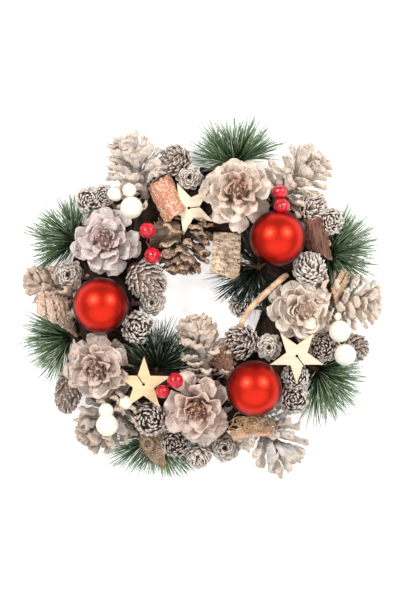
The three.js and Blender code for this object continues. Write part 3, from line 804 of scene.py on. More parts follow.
@dataclass(frozen=True)
class PlyFinish:
    """Thin birch plywood, cut with a hot beam that browned its edges."""

    name: str
    face: Colour = (252, 238, 206)
    grain: Colour = (236, 214, 172)
    burnt: Colour = (150, 104, 62)
    turn: float = 0.0

    def material(self) -> bpy.types.Material:
        """Makes the plywood; the grain runs at the given angle in the wreath's plane."""
        paint = Paint(f"plywood_{self.name}", Specular_IOR_Level=0.25)
        turned = paint.node("ShaderNodeMapping", None,
                            {"Vector": paint.place(), "Rotation": (0, 0, -math.radians(self.turn)),
                             "Scale": (24, 520, 24)}, "Vector")
        lines = paint.noise(1.0, turned, 5, 0.6)
        pores, cloud = paint.noise(1500, detail=3), paint.noise(70, detail=3)
        wood = paint.blend(lines.sharpened(0.42, 0.72) * 0.8 + cloud * 0.15, self.face, self.grain)
        facing = paint.node("ShaderNodeSeparateXYZ", None,
                            {"Vector": paint.node("ShaderNodeNewGeometry", output="Normal")}, "Z")
        edge = 1 - (facing * facing).sharpened(0.2, 0.6)
        colour = paint.blend(edge * 0.85, wood, self.burnt)
        return paint.finish(colour, 0.62, lines * 0.6 + pores * 0.3, 0.12)


@dataclass(frozen=True)
class WoodFinish:
    """Bare sticks, twigs and fibres: streaky along their length, darker in the grooves."""

    name: str
    light: Colour
    dark: Colour
    streak: float = 0.5

    def material(self) -> bpy.types.Material:
        """Makes the wood from the place on the piece."""
        paint = Paint(f"wood_{self.name}", Specular_IOR_Level=0.25)
        tone = paint.attribute("tone")
        grain, fine = paint.noise(260, detail=5, rough=0.65), paint.noise(1300, detail=3)
        share = grain.sharpened(0.35, 0.68) * self.streak + tone * (1 - self.streak)
        colour = paint.blend(share, self.light, self.dark)
        return paint.finish(colour, 0.85, grain * 0.7 + fine * 0.3, 0.35)


# Rooms that pieces keep free for each other


@dataclass(frozen=True)
class Room:
    """A ball of air, or of another piece, that scales and needles stay out of."""

    centre: Triple
    reach: float

    def distance(self, places: np.ndarray) -> np.ndarray:
        """Returns how far places are from its centre."""
        return np.linalg.norm(places - np.array(self.centre), axis=-1)


@dataclass(frozen=True)
class Clearing:
    """A round place that lies open to the sky: no needle crosses it above its level."""

    at: tuple[float, float]
    reach: float
    level: float


@dataclass(frozen=True)
class Bauble:
    """Where a bauble sits in the wreath's plane, and which way its cap points."""

    at: tuple[float, float]
    cap: Triple


BAUBLES = {
    "upper_right": Bauble((55.0, 44.6), (0.7, 0.35, -0.62)),
    "left": Bauble((-71.3, -3.4), (-0.75, -0.2, -0.63)),
    "lower_right": Bauble((38.3, -62.8), (0.5, -0.62, -0.6)),
}
BAUBLE_ROOMS = [Room((*ball.at, BAUBLE_HEIGHT), BAUBLE_RADIUS + GLUE_GAP) for ball in BAUBLES.values()]
BARK_ROOMS = {
    "bark_orange_curl": [Room((-27.0, 77.0, 36.0), 14.0), Room((-20.0, 66.0, 42.0), 12.0)],
    "bark_purple_curl": [Room((83.0, 46.0, 30.0), 11.0)],
    "bark_roll_left": [Room((-105.0, -6.0, 32.0), 10.0)],
    "canoe_peel": [Room((36.0, -91.0, 44.0), 11.0), Room((48.0, -90.0, 44.0), 9.0),
                   Room((25.0, -93.0, 42.0), 9.0)],
    "bark_conical_curl": [Room((17.0, -45.0, 38.0), 9.0)],
    "birch_chip": [Room((18.0, 36.0, 36.0), 11.0)],
}
CLEARINGS = {
    "birch_chip": [Clearing((18.5, 41.0), 12.0, 22.0), Clearing((18.0, 26.0), 12.0, 26.0)],
    "bark_with_knot": [Clearing((-35.0, -92.0), 9.0, 12.0), Clearing((-34.0, -104.0), 9.0, 9.0),
                       Clearing((-33.0, -114.0), 8.0, 7.0)],
    "big_cones": [Clearing((25.6, 75.7), 24.0, 34.0), Clearing((-66.8, 41.6), 23.0, 32.0),
                  Clearing((-72.1, -47.1), 23.0, 30.0), Clearing((-2.5, -76.2), 24.0, 32.0),
                  Clearing((70.3, -7.4), 22.0, 30.0)],
    "wooden_stars": [Clearing((-40.8, -60.3), 12.0, 34.0), Clearing((-8.4, 66.3), 12.0, 29.0)],
    "rattan_stick": [Clearing((58.0, 15.0), 5.0, 26.0), Clearing((50.0, 8.2), 5.0, 29.0),
                     Clearing((43.0, 2.0), 5.0, 31.0), Clearing((37.1, -4.3), 5.0, 32.0),
                     Clearing((31.0, -13.0), 5.0, 29.0)],
    "small_cones_upper_right": [Clearing((78.3, 22.4), 9.0, 30.0)],
}


# Pine cones


class ConeKind(Enum):
    """How a cone's scales stand."""

    OPEN = "open like a rose, seen on end"
    FINGERED = "long fingers round a lying core"
    CLOSED = "an egg of small scales"
    ROSETTE = "a small rose of thin scales"


# Each kind's core from foot to head: its radius and height, as shares of the cone's own
CORE_PROFILES = {
    ConeKind.OPEN: [(0.0, -0.08), (0.3, 0.0), (0.36, 0.2), (0.26, 0.5), (0.16, 0.66), (0.02, 0.7)],
    ConeKind.FINGERED: [(0.06, -0.3), (0.14, -0.15), (0.2, 0.0), (0.18, 0.2), (0.12, 0.4), (0.02, 0.5)],
    ConeKind.CLOSED: [(0.1, -0.98), (0.5, -0.8), (0.8, -0.4), (0.8, 0.1), (0.55, 0.5), (0.05, 0.8)],
    ConeKind.ROSETTE: [(0.1, -0.98), (0.4, -0.8), (0.4, -0.4), (0.2, 0.1), (0.1, 0.25), (0.02, 0.35)],
}
CORE_STEPS = 14
CORE_SIDES = 12
CORE_THINNEST = 0.2
CONE_VALUES = ("along", "across", "rim", "under", "tone", "frost")

# Waves across a scale, in radians from its middle to its edge
TOOTH_WAVE = 11
BROAD_WAVE = 3.3
FINE_WAVE = 7.1


@dataclass(frozen=True)
class ScaleForm:
    """The shape of one cone scale, in shares of its width and length.

    It widens from its neck to its shoulder, and its corners fall back towards the root. It is cupped
    across, curled along and wavy towards its tip, which may be ragged and end in a knob.
    """

    neck: float = 0.42
    shoulder: float = 0.7
    fall: float = 0.3
    narrowing: float = 0.1
    cup: float = 0.16
    curl: float = 0.08
    wave: float = 0.03
    ragged: float = 0.0
    root_wall: float = 0.05
    tip_wall: float = 0.11
    edge_thinning: float = 0.4
    knob: float = 0.0
    knob_place: float = 0.9
    knob_length: float = 0.12
    columns: int = 6
    rows: int = 6
    rounded: bool = True
    phase: float = 0.0

    def model(self) -> Shape:
        """Models the scale: root at the origin, tip at +Y, its upper side facing +Z.

        Returns:
            A closed shape one unit wide and one long.
        """
        piece, across, along = grid_sheet(self.columns, self.rows)
        widen = smoothstep(along / self.shoulder)
        close = np.clip((along - self.shoulder) / (1 - self.shoulder), 0, 1)
        half = 0.5 * (self.neck + (1 - self.neck) * widen) * (1 - self.narrowing * close ** 2)
        side = np.abs(across)
        x = across * half * (1 - self.narrowing * along ** 6 * side ** 4)
        y = along * (1 - self.fall * side ** 2.4 * along ** 2)
        y += self.ragged * np.sin(TOOTH_WAVE * across + 3 * self.phase) * along ** 5
        z = self.cup * side ** 2 * smoothstep(along * 1.4) + self.curl * along ** 3
        z += self.wave * np.sin(BROAD_WAVE * across + self.phase) * along ** 2
        z += self.wave * 0.6 * np.sin(FINE_WAVE * across + 2.3 * self.phase) * along ** 4
        set_points(piece, np.stack([x, y, z], axis=1))
        wall = self.root_wall + (self.tip_wall - self.root_wall) * along ** 1.5
        wall += self.knob * np.exp(-((along - self.knob_place) / self.knob_length) ** 2)
        return thickened(piece, wall * (1 - self.edge_thinning * side ** 2), self.rounded)


BUD_SCALE = ScaleForm(columns=4, rows=3, rounded=False, cup=-0.08, curl=0.1, neck=0.5, fall=0.34,
                      root_wall=0.08, tip_wall=0.13)
ROSE_SCALE = ScaleForm(columns=4, rows=4, rounded=False, cup=0.1, curl=-0.08, neck=0.5, fall=0.2,
                       root_wall=0.04, tip_wall=0.07)


@dataclass(frozen=True)
class Stand:
    """How a scale stands on its cone: its root, its tip, both as radius and height, and its width."""

    near: float
    low: float
    far: float
    high: float
    width: float


@dataclass
class Cone:
    """One cone: a core with scales round it in a golden-angle spiral.

    A scale's share of the spiral runs from 0 at the cone's foot to 1 at its head. Disorder sets how far the
    scales stray, and layered, from 0 to 1, how closely the fingers of a lying cone overlap.
    """

    at: Triple
    direction: Triple
    radius: float
    length: float
    kind: ConeKind
    scales: int
    breadth: float = 1.0
    frost: float = 0.0
    disorder: float = 0.2
    layered: float = 0.0
    seed: int = 1

    def _open(self, share: float) -> Stand:
        """Returns how a scale of an open cone stands: nearly flat at the foot, nearly upright on top."""
        inward = max(share, 0.0)
        core = self.radius * mix(0.34, 0.2, inward)
        low = self.length * mix(0.2, 0.62, share)
        reach = self.radius * (1.02 - 0.66 * inward ** 1.7)
        rise = math.radians(mix(6, 66, share))
        width = self.radius * mix(0.63, 0.38, inward ** 1.2)
        return Stand(core, low, reach, low + (reach - core) * math.tan(rise), width)

    def _fingered(self, share: float) -> Stand:
        """Returns how a finger of a lying cone stands: sideways at the foot, straight on at the tip."""
        off = math.radians(mix(88 + 16 * self.layered, 6, share ** 1.3))
        far = self.radius * 1.16 * math.sin(off) ** 0.6
        high = self.length * math.cos(off)
        near = self.radius * (0.14 + 0.12 * self.layered * (1 - share))
        low = self.length * mix(-0.1 - 0.14 * self.layered, 0.5 + 0.26 * self.layered, share)
        return Stand(near, low, far, high, self.radius * 0.36)

    def _closed(self, share: float) -> Stand:
        """Returns how a scale of a closed egg stands: it lies on the egg, its tip ahead of its root."""
        polar = math.acos(mix(-0.8, 0.995, share))
        tip, root = max(polar - 0.14, 0.05), min(polar + 0.5, math.pi)
        wide = self.radius * 1.15
        near, low = 0.5 * wide * math.sin(root), 0.62 * self.length * math.cos(root)
        far, high = wide * math.sin(tip), self.length * (math.cos(tip) + 0.05)
        return Stand(near, low, far, high, self.radius * mix(0.26, 0.43, math.sin(polar)))

    def _rosette(self, share: float) -> Stand:
        """Returns how a scale of a small rose stands: the outer ones droop, the inner ones stand."""
        rise = math.radians(mix(-12, 78, share))
        core = self.radius * 0.2 * (1 - 0.6 * share)
        low = self.length * mix(-0.7, 0.25, share)
        reach = self.radius * mix(1.14, 0.2, share ** 1.2)
        width = self.radius * mix(0.72, 0.36, share)
        return Stand(core, low, reach, low + (reach - core) * math.tan(rise), width)

    def _stray(self, random: np.random.Generator, low: float, high: float) -> float:
        """Returns a random number between two bounds, times the cone's disorder."""
        return self.disorder * random.uniform(low, high)

    def spread(self) -> Iterator[tuple[np.ndarray, np.ndarray, float, float]]:
        """Yields each scale's root and tip in the cone's frame, its width and its share of the spiral."""
        rule = {ConeKind.OPEN: self._open, ConeKind.FINGERED: self._fingered,
                ConeKind.CLOSED: self._closed, ConeKind.ROSETTE: self._rosette}[self.kind]
        random = np.random.default_rng(self.seed)
        first = -0.1 if self.kind is ConeKind.OPEN else 0.0
        for index in range(self.scales):
            share = first + (1 - first) * index / (self.scales - 1)
            stand = rule(share)
            turn = index * GOLDEN_ANGLE + self._stray(random, -1, 1)
            far = stand.far * (1 + self._stray(random, -0.35, 0.15))
            high = stand.high + self._stray(random, -0.5, 0.5) * abs(stand.far - stand.near)
            way = np.array([math.cos(turn), math.sin(turn)])
            root, tip = np.array([*(way * stand.near), stand.low]), np.array([*(way * far), high])
            width = stand.width * self.breadth * (1 + self._stray(random, -0.7, 0.7))
            yield root, tip, width, share

    def core(self, turn: np.ndarray) -> Shape:
        """Returns the cone's core, given the rotation that stands the cone in its place."""
        profile = CORE_PROFILES[self.kind]
        shares = np.linspace(0, 1, CORE_STEPS)
        stops = np.linspace(0, 1, len(profile))
        wide = np.interp(shares, stops, [stop[0] for stop in profile]) * self.radius
        high = np.interp(shares, stops, [stop[1] for stop in profile]) * self.length
        path = np.array([self.at + turn @ (0, 0, z) for z in high])
        return sweep(path[None], np.maximum(wide, CORE_THINNEST)[None], CORE_SIDES)

    def gather(self, bunch: Bunch, form: Shape, rooms: Sequence[Room] = ()) -> None:
        """Adds the cone's core and scales to a bunch.

        Args:
            bunch: where the copies go.
            form: the modelled scale.
            rooms: a scale that ends in one is cut to about half, or left out if that still ends in one.
        """
        turn = turned_to(self.direction)
        axis = turn @ np.array(UP)
        random = np.random.default_rng(self.seed + 100)
        bunch.add(self.core(turn), tone=0.5, along=0.0, frost=self.frost)
        for root, tip, width, share in self.spread():
            start, end = self.at + turn @ root, self.at + turn @ tip
            if any(room.distance(end) < room.reach for room in rooms):
                end = start + (end - start) * 0.55
                if any(room.distance(end) < room.reach for room in rooms):
                    continue
            y = unit(end - start)
            z = unit(axis - y * np.dot(y, axis))
            x = np.cross(y, z)
            lean = self._stray(random, -1.3, 1.3)
            basis = np.stack([x * math.cos(lean) + z * math.sin(lean), y,
                              z * math.cos(lean) - x * math.sin(lean)], axis=1)
            size = np.linalg.norm(end - start)
            frost = 0.6 * max(share, 0) ** 3 if self.kind is ConeKind.OPEN else self.frost
            place = placed(basis, start, (width, size, size))
            bunch.add(form, place, tone=random.uniform(0, 1), frost=frost)


@dataclass(frozen=True)
class BigCone:
    """Where one big cone stands, its radius, the way it leans and its finish."""

    at: Triple
    radius: float
    lean: Triple
    finish: ConeFinish


@dataclass
class BigCones:
    """The five big open cones that are seen on end, each with a closed bud in its middle."""

    scales: int = 31
    height: float = 1.62
    disorder: float = 0.3
    seed: int = 10
    bud_level: float = 0.68
    bud_radius: float = 0.27
    bud_length: float = 0.34
    bud_scales: int = 26
    bud_seed: int = 60
    stalk: float = 3.5
    warps: tuple[tuple[float, float], ...] = ((9.0, 2.4), (3.0, 0.8))
    cones: dict[str, BigCone] = field(default_factory=lambda: {
        "top": BigCone((25.6, 75.7, 19), 26, (0.04, 0.1, 1), ConeFinish(
            "top", wash=(255, 242, 228), wood=(184, 140, 112), edge=(214, 160, 126), centre=0.9)),
        "upper_left": BigCone((-66.8, 41.6, 16), 25.5, (-0.08, 0.06, 1), ConeFinish(
            "upper_left", wash=(244, 236, 230), wood=(160, 126, 116), edge=(214, 150, 138))),
        "lower_left": BigCone((-72.1, -47.1, 14), 25, (-0.08, -0.08, 1), ConeFinish(
            "lower_left", wash=(248, 232, 220), wood=(160, 124, 106), edge=(196, 144, 124))),
        "bottom": BigCone((-2.5, -76.2, 16), 26, (0, -0.08, 1), ConeFinish(
            "bottom", wash=(254, 240, 230), wood=(176, 124, 94), edge=(206, 146, 114),
            grooved=0.5, centre=0.9)),
        "right": BigCone((70.3, -7.4, 15), 24.5, (0.12, 0.02, 1), ConeFinish(
            "right", wash=(255, 246, 232), wood=(204, 158, 130), edge=(226, 178, 146), hollow_shade=0.6)),
    })

    def build(self) -> None:
        """Builds each cone with its own scale form and finish."""
        for number, (name, big) in enumerate(self.cones.items()):
            form = ScaleForm(phase=1.7 * number, cup=0.17 + 0.01 * number, fall=0.13, curl=0.03, wave=0.07,
                             shoulder=0.78, columns=8, rows=7, tip_wall=0.085).model()
            bunch = Bunch(*CONE_VALUES, warps=self.warps)
            height = self.height * big.radius
            cone = Cone(big.at, big.lean, big.radius, height, ConeKind.OPEN, self.scales,
                        disorder=self.disorder, seed=self.seed + number)
            cone.gather(bunch, form, BAUBLE_ROOMS)
            middle = np.array(big.at) + unit(big.lean) * height * self.bud_level
            bud = Cone(middle, big.lean, big.radius * self.bud_radius, big.radius * self.bud_length,
                       ConeKind.CLOSED, self.bud_scales, frost=1.0, disorder=self.disorder,
                       seed=self.bud_seed + number)
            bud.gather(bunch, form)
            bunch.add(rod([ring_seat(big.at), big.at], self.stalk), tone=0.5)
            piece = bunch.build(f"open_cone_{name}", big.finish.material())
            declare(piece, "whitewashed_cone", f"big_cone_{name}")


@dataclass(frozen=True)
class SideCone:
    """One lying cone: its place, the bearing and rise of its tip, its size, layering and chalk colour."""

    at: Triple
    towards: float
    rise: float
    radius: float
    length: float
    layered: float
    wash: Colour


@dataclass
class SideCones:
    """The eight cones that lie on their sides, with scales like fingers."""

    fewest: int = 28
    most: int = 54
    disorder: float = 0.28
    seed: int = 30
    stalk: float = 2.4
    warps: tuple[tuple[float, float], ...] = ((7.0, 2.2), (2.3, 1.1))
    cones: dict[str, SideCone] = field(default_factory=lambda: {
        "top_left": SideCone((-41, 80, 21), 110, 5, 20, 43, 1.0, (255, 246, 238)),
        "top_right": SideCone((58, 76, 20), 46, 6, 21, 43, 0.9, (254, 244, 232)),
        "right": SideCone((95, 0, 19), -5, 2, 20, 37, 1.0, (255, 244, 232)),
        "lower_right": SideCone((44, -88, 19), -55, 3, 21, 42, 0.35, (236, 232, 226)),
        "lower_left": SideCone((-58, -75, 20), 230, 3, 20, 40, 0.9, (208, 200, 192)),
        "left": SideCone((-92, 4, 17), 162, 2, 16, 38, 0.6, (222, 202, 186)),
        "inner_bottom": SideCone((5, -49, 21), 108, 8, 18, 41, 0.7, (254, 240, 226)),
        "inner_top": SideCone((-10, 52, 21), 260, 6, 19, 34, 1.0, (220, 198, 178)),
    })

    def finger(self, layered: float, phase: float) -> Shape:
        """Models one finger: narrow and thick where the cone is not layered, broad and thin where it is."""
        return ScaleForm(neck=mix(0.55, 0.42, layered), shoulder=0.76, fall=mix(0.16, 0.06, layered),
                         cup=mix(0.02, 0.08, layered), curl=0.05, wave=0.05, ragged=0.05, root_wall=0.06,
                         tip_wall=mix(0.13, 0.1, layered), knob=0.07, columns=5, rows=9,
                         phase=phase).model()

    def build(self) -> None:
        """Builds each cone; the one under the top star keeps more of its brown wood."""
        rooms = (*BAUBLE_ROOMS, *chain.from_iterable(BARK_ROOMS.values()))
        for number, (name, side) in enumerate(self.cones.items()):
            form = self.finger(side.layered, 0.9 * number)
            cone = Cone(side.at, bearing(side.towards, side.rise), side.radius, side.length,
                        ConeKind.FINGERED, round(mix(self.fewest, self.most, side.layered)),
                        breadth=mix(0.78, 1.4, side.layered), disorder=self.disorder,
                        layered=side.layered, seed=self.seed + number)
            bunch = Bunch(*CONE_VALUES, warps=self.warps)
            cone.gather(bunch, form, rooms)
            bunch.add(rod([ring_seat(side.at), side.at], self.stalk), tone=0.5, along=0.0)
            brown = name == "inner_top"
            finish = ConeFinish(f"side_{name}", wash=side.wash, wood=(150, 122, 102), edge=(226, 188, 150),
                                worn=0.7, pad=0.5, cover=0.42 if brown else 0.8, grooved=0.5,
                                hollow_shade=0.7 if brown else 0.5, shadow=0.15)
            piece = bunch.build(f"finger_cone_{name}", finish.material())
            declare(piece, "tan_cone", f"side_cone_{name}")


@dataclass(frozen=True)
class SmallCone:
    """Where one small cone stands and how it looks."""

    at: Triple
    radius: float
    length: float
    direction: Triple = UP
    kind: ConeKind = ConeKind.CLOSED
    frost: float = 0.1


def rosette(at: Triple, radius: float, length: float, frost: float) -> SmallCone:
    """Returns a small rose that faces straight up."""
    return SmallCone(at, radius, length, UP, ConeKind.ROSETTE, frost)


@dataclass
class SmallCones:
    """The clusters of small cones between the big pieces."""

    egg_scales: int = 124
    rose_scales: int = 44
    disorder: float = 0.24
    seed: int = 60
    stalk: float = 1.6
    warps: tuple[tuple[float, float], ...] = ((2.4, 0.5),)
    clusters: dict[str, list[SmallCone]] = field(default_factory=lambda: {
        "top": [SmallCone((-17.6, 101.4, 20), 10.5, 12, bearing(170, 30)),
                rosette((-8, 88.6, 30), 9.6, 11, 0.5)],
        "top_left": [SmallCone((-70, 76, 25), 7.5, 8, frost=0.7),
                     SmallCone((-80, 72.5, 20), 9.5, 10, frost=0.7)],
        "left": [rosette((-95.2, 18.5, 30), 10.6, 12, 0.5)],
        "inner_left": [SmallCone((-39.8, 15.6, 30), 12.5, 16, bearing(-40, 15), frost=0.12),
                       rosette((-35.2, -1.6, 24), 9.6, 11, 0.6),
                       SmallCone((-44.8, -19.3, 30), 11, 12, frost=0.6)],
        "upper_right": [SmallCone((78.3, 22.4, 32), 11, 13, bearing(110, 45), frost=0.55)],
        "far_right": [SmallCone((94, 57.5, 20), 9, 10, frost=0.8),
                      SmallCone((80, 66.5, 24), 10, 12, bearing(30, 40), frost=0.3)],
        "inner_right": [SmallCone((29.5, -29.6, 25), 11.5, 13, bearing(200, 50)),
                        rosette((49, -33.6, 33), 10, 11, 0.75)],
        "right": [SmallCone((88, -34, 26), 9.4, 11),
                  SmallCone((111, -34.4, 16), 9.6, 11, bearing(-10, 20))],
        "lower_right": [SmallCone((68.5, -54.8, 28), 9, 11, frost=0.45),
                        SmallCone((67.5, -71, 22), 10, 11, frost=0.5)],
        "lower_left": [SmallCone((-95.7, -64.6, 14), 9, 17, bearing(262, 0))],
        "bottom_left": [SmallCone((-36, -85, 24), 11.5, 14, frost=0.2),
                        SmallCone((-18.1, -103, 16), 9.5, 11)],
        "bottom": [SmallCone((-1.5, -112, 12), 8.5, 10, bearing(-90, 30), frost=0.4),
                   rosette((17.5, -106.4, 17), 11, 12, 0.55)],
        "hole": [SmallCone((28.5, -3.6, 20), 7.5, 9, frost=0.8)],
    })

    def build(self) -> None:
        """Builds each cluster as one piece."""
        egg, rose = BUD_SCALE.model(), ROSE_SCALE.model()
        material = SmallConeFinish().material()
        for number, (name, cones) in enumerate(self.clusters.items()):
            bunch = Bunch(*CONE_VALUES, warps=self.warps)
            for place, made in enumerate(cones):
                is_rose = made.kind is ConeKind.ROSETTE
                cone = Cone(made.at, made.direction, made.radius, made.length, made.kind,
                            self.rose_scales if is_rose else self.egg_scales, frost=made.frost,
                            disorder=self.disorder, seed=self.seed + 7 * number + place)
                cone.gather(bunch, rose if is_rose else egg, BAUBLE_ROOMS)
                bunch.add(rod([ring_seat(made.at), made.at], self.stalk), tone=0.5)
            piece = bunch.build(f"small_cone_cluster_{name}", material)
            declare(piece, "small_cone", f"small_cones_{name}")


# The ring and what is glued to it


@dataclass
class TwigRing:
    """The ring of wound twigs that carries everything, with thin loose ones along its two sides."""

    strands: int = 24
    winds: float = 3.0
    twig: float = 2.8
    twig_sides: int = 7
    loose: int = 14
    loose_twig: float = 1.5
    loose_sides: int = 6
    core: float = 9.0
    core_sides: int = 12
    steps: int = 150
    seed: int = 5

    def __post_init__(self) -> None:
        """Works out the bearings of the points of one lap."""
        self.lap = np.linspace(0, 1, self.steps) * 2 * math.pi

    def hoop(self, radius: np.ndarray | float, height: np.ndarray, thick: np.ndarray | float,
             sides: int) -> Shape:
        """Returns a rod that runs once round the ring.

        Args:
            radius: how far it lies from the wreath's middle.
            height: how high it lies.
            thick: its own radius.
            sides: corners of its section.
        """
        path = np.stack([radius * np.cos(self.lap), radius * np.sin(self.lap), height], axis=1)
        return sweep(path[None], (thick * np.ones(self.steps))[None], sides)

    def wound(self, number: int, random: np.random.Generator) -> Shape:
        """Returns one twig that winds round the core, flat where it rests on the table."""
        turn = (number / self.strands * 2 * math.pi + self.winds * self.lap
                + 0.12 * np.sin(5 * self.lap + number))
        inset = self.twig + 0.6 + 0.5 * random.uniform(0, 1)
        radius = RING_RADIUS + (RING_HALF_WIDTH - inset) * np.cos(turn)
        height = RING_WAIST + (RING_HEIGHT - RING_WAIST - inset) * np.sin(turn)
        thick = self.twig * (1 + 0.08 * np.sin(9 * self.lap + 2 * number))
        return self.hoop(radius, np.maximum(height, thick + CLEAR_OF_TABLE), thick, self.twig_sides)

    def stray(self, number: int) -> Shape:
        """Returns one loose twig: three of four lie along the outer side, the fourth along the inner."""
        side = -1 if number % 4 == 3 else 1
        radius = RING_RADIUS + side * (RING_HALF_WIDTH + (0.7 if side > 0 else 0.3) * (number % 6))
        radius = radius + 1.1 * np.sin(4 * self.lap + number) + 0.7 * np.sin(11 * self.lap + 2 * number)
        height = 3.5 + 1.9 * (number % 5) + 1.4 * np.sin(5 * self.lap + 1.7 * number)
        return self.hoop(radius, height, self.loose_twig, self.loose_sides)

    def build(self) -> None:
        """Winds the twigs round a solid core."""
        random = np.random.default_rng(self.seed)
        bunch = Bunch("along", "tone")
        for number in range(self.strands):
            bunch.add(self.wound(number, random), tone=random.uniform(0, 1))
        for number in range(self.loose):
            bunch.add(self.stray(number), tone=random.uniform(0, 1))
        level = np.full(self.steps, RING_WAIST)
        bunch.add(self.hoop(RING_RADIUS, level, self.core, self.core_sides), tone=0.9)
        # The twigs' own dark brown, darkened further as painted shade for the gaps between the pieces.
        finish = WoodFinish("twig", (62, 44, 32), (20, 13, 9), 0.6)
        declare(bunch.build("twig_ring", finish.material()), "twig", "base_ring")


@dataclass
class Baubles:
    """The three satin red baubles with their caps and hanging rings.

    The cap's top is beaded by two insets, each with its lift.
    """

    segments: int = 72
    rings: int = 44
    neck_level: float = 0.985
    neck_inset: float = 0.4
    neck_height: float = 1.2
    cap_sides: int = 48
    cap_radius: float = 4.6
    cap_height: float = 6.0
    cap_level: float = 2.4
    cap_beads: tuple[tuple[float, float], ...] = ((0.7, 0.6), (1.2, -0.5))
    cap_rounding: float = 0.25
    flutes: int = 16
    flute_depth: float = 0.07
    loop_radius: float = 3.6
    loop_sunk: float = 1.0
    loop_wire: float = 0.5
    loop_steps: int = 33
    loop_sides: int = 8
    crease: float = 40.0

    def model_ball(self) -> Shape:
        """Models a ball with a short neck at its pole."""
        deselect()
        bpy.ops.mesh.primitive_uv_sphere_add(segments=self.segments, ring_count=self.rings,
                                             radius=BAUBLE_RADIUS)
        ball = bpy.context.active_object
        level = BAUBLE_RADIUS * self.neck_level
        select_faces(ball, [face.center.z > level for face in ball.data.polygons])
        bpy.ops.mesh.inset(thickness=self.neck_inset)
        bpy.ops.mesh.extrude_region_move(TRANSFORM_OT_translate={"value": (0, 0, self.neck_height)})
        bpy.ops.object.mode_set(mode="OBJECT")
        return Shape.taken_from(ball).steadied()

    def model_cap(self) -> Shape:
        """Models the stamped cap: a beaded top and a fluted skirt."""
        deselect()
        bpy.ops.mesh.primitive_cylinder_add(vertices=self.cap_sides, radius=self.cap_radius,
                                            depth=self.cap_height,
                                            location=(0, 0, BAUBLE_RADIUS + self.cap_level))
        cap = bpy.context.active_object
        bpy.ops.object.transform_apply()
        select_faces(cap, [face.normal.z > 0.9 for face in cap.data.polygons])
        for inset, lift in self.cap_beads:
            bpy.ops.mesh.inset(thickness=inset)
            bpy.ops.mesh.extrude_region_move(TRANSFORM_OT_translate={"value": (0, 0, lift)})
        bpy.ops.object.mode_set(mode="OBJECT")
        points = np.array([vertex.co for vertex in cap.data.vertices])
        low = points[:, 2] < BAUBLE_RADIUS
        flute = 1 + self.flute_depth * np.cos(self.flutes * np.arctan2(points[:, 1], points[:, 0]))
        points[low, :2] *= flute[low, None]
        set_points(cap, points)
        apply_modifier(cap, "BEVEL", width=self.cap_rounding, segments=2)
        return Shape.taken_from(cap).steadied()

    def model_loop(self) -> Shape:
        """Models the hanging ring of wire that stands in the cap."""
        turn = np.linspace(0, 2 * math.pi, self.loop_steps)
        height = BAUBLE_RADIUS + self.cap_height + self.loop_radius - self.loop_sunk
        path = np.stack([self.loop_radius * np.cos(turn), 0 * turn,
                         height + self.loop_radius * np.sin(turn)], axis=1)
        return sweep(path[None], np.full((1, self.loop_steps), self.loop_wire), self.loop_sides)

    def build(self) -> None:
        """Places the three balls and their caps; level, how high a point lies on its ball, sets its painted
        shade.
        """
        ball, cap, loop = self.model_ball(), self.model_cap(), self.model_loop()
        lacquer, metal = BaubleFinish().material(), MetalFinish().material()
        for name, bauble in BAUBLES.items():
            place = placed(turned_to(bauble.cap), (*bauble.at, BAUBLE_HEIGHT))
            balls, caps = Bunch("level"), Bunch()
            hung = ball.moved(place)
            hung.values["level"] = (hung.points[:, 2] - BAUBLE_HEIGHT) / BAUBLE_RADIUS
            balls.add(hung)
            caps.add(cap, place)
            caps.add(loop, place)
            declare(balls.build(f"red_bauble_{name}", lacquer), "bauble_red", f"bauble_{name}")
            fittings = caps.build(f"bauble_fittings_{name}", metal)
            select_only(fittings)
            bpy.ops.object.shade_smooth_by_angle(angle=math.radians(self.crease))
            declare(fittings, "cap_silver", f"bauble_cap_{name}")


@dataclass
class Stars:
    """The three plywood stars, whose solids are shown as they are, each with the bearing of its grain."""

    finishes: dict[str, PlyFinish] = field(default_factory=lambda: {
        "top": PlyFinish("top", (245, 230, 205), (229, 206, 172), turn=-101.0),
        "lower_left": PlyFinish("lower_left", (240, 209, 168), (226, 190, 142), turn=89.0),
        "right": PlyFinish("right", (242, 222, 196), (227, 200, 164), turn=-90.0),
    })

    def build(self) -> None:
        """Gives each star its plywood."""
        for name, finish in self.finishes.items():
            material = finish.material()
            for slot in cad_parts[f"wooden_star_{name}"].material_slots:
                slot.material = material
            LOG.info("wooden_star_%s: plywood", name)


@dataclass(frozen=True)
class Berry:
    """One berry of a sprig: its centre, radius, length against width, and sugar."""

    at: Triple
    radius: float
    stretch: float = 1.0
    frost: float = 0.0


@dataclass(frozen=True)
class Sprig:
    """One sprig: the foot of its stem, the fork from which its wires leave, and the berries on them."""

    foot: Triple
    fork: Triple
    berries: tuple[Berry, ...]


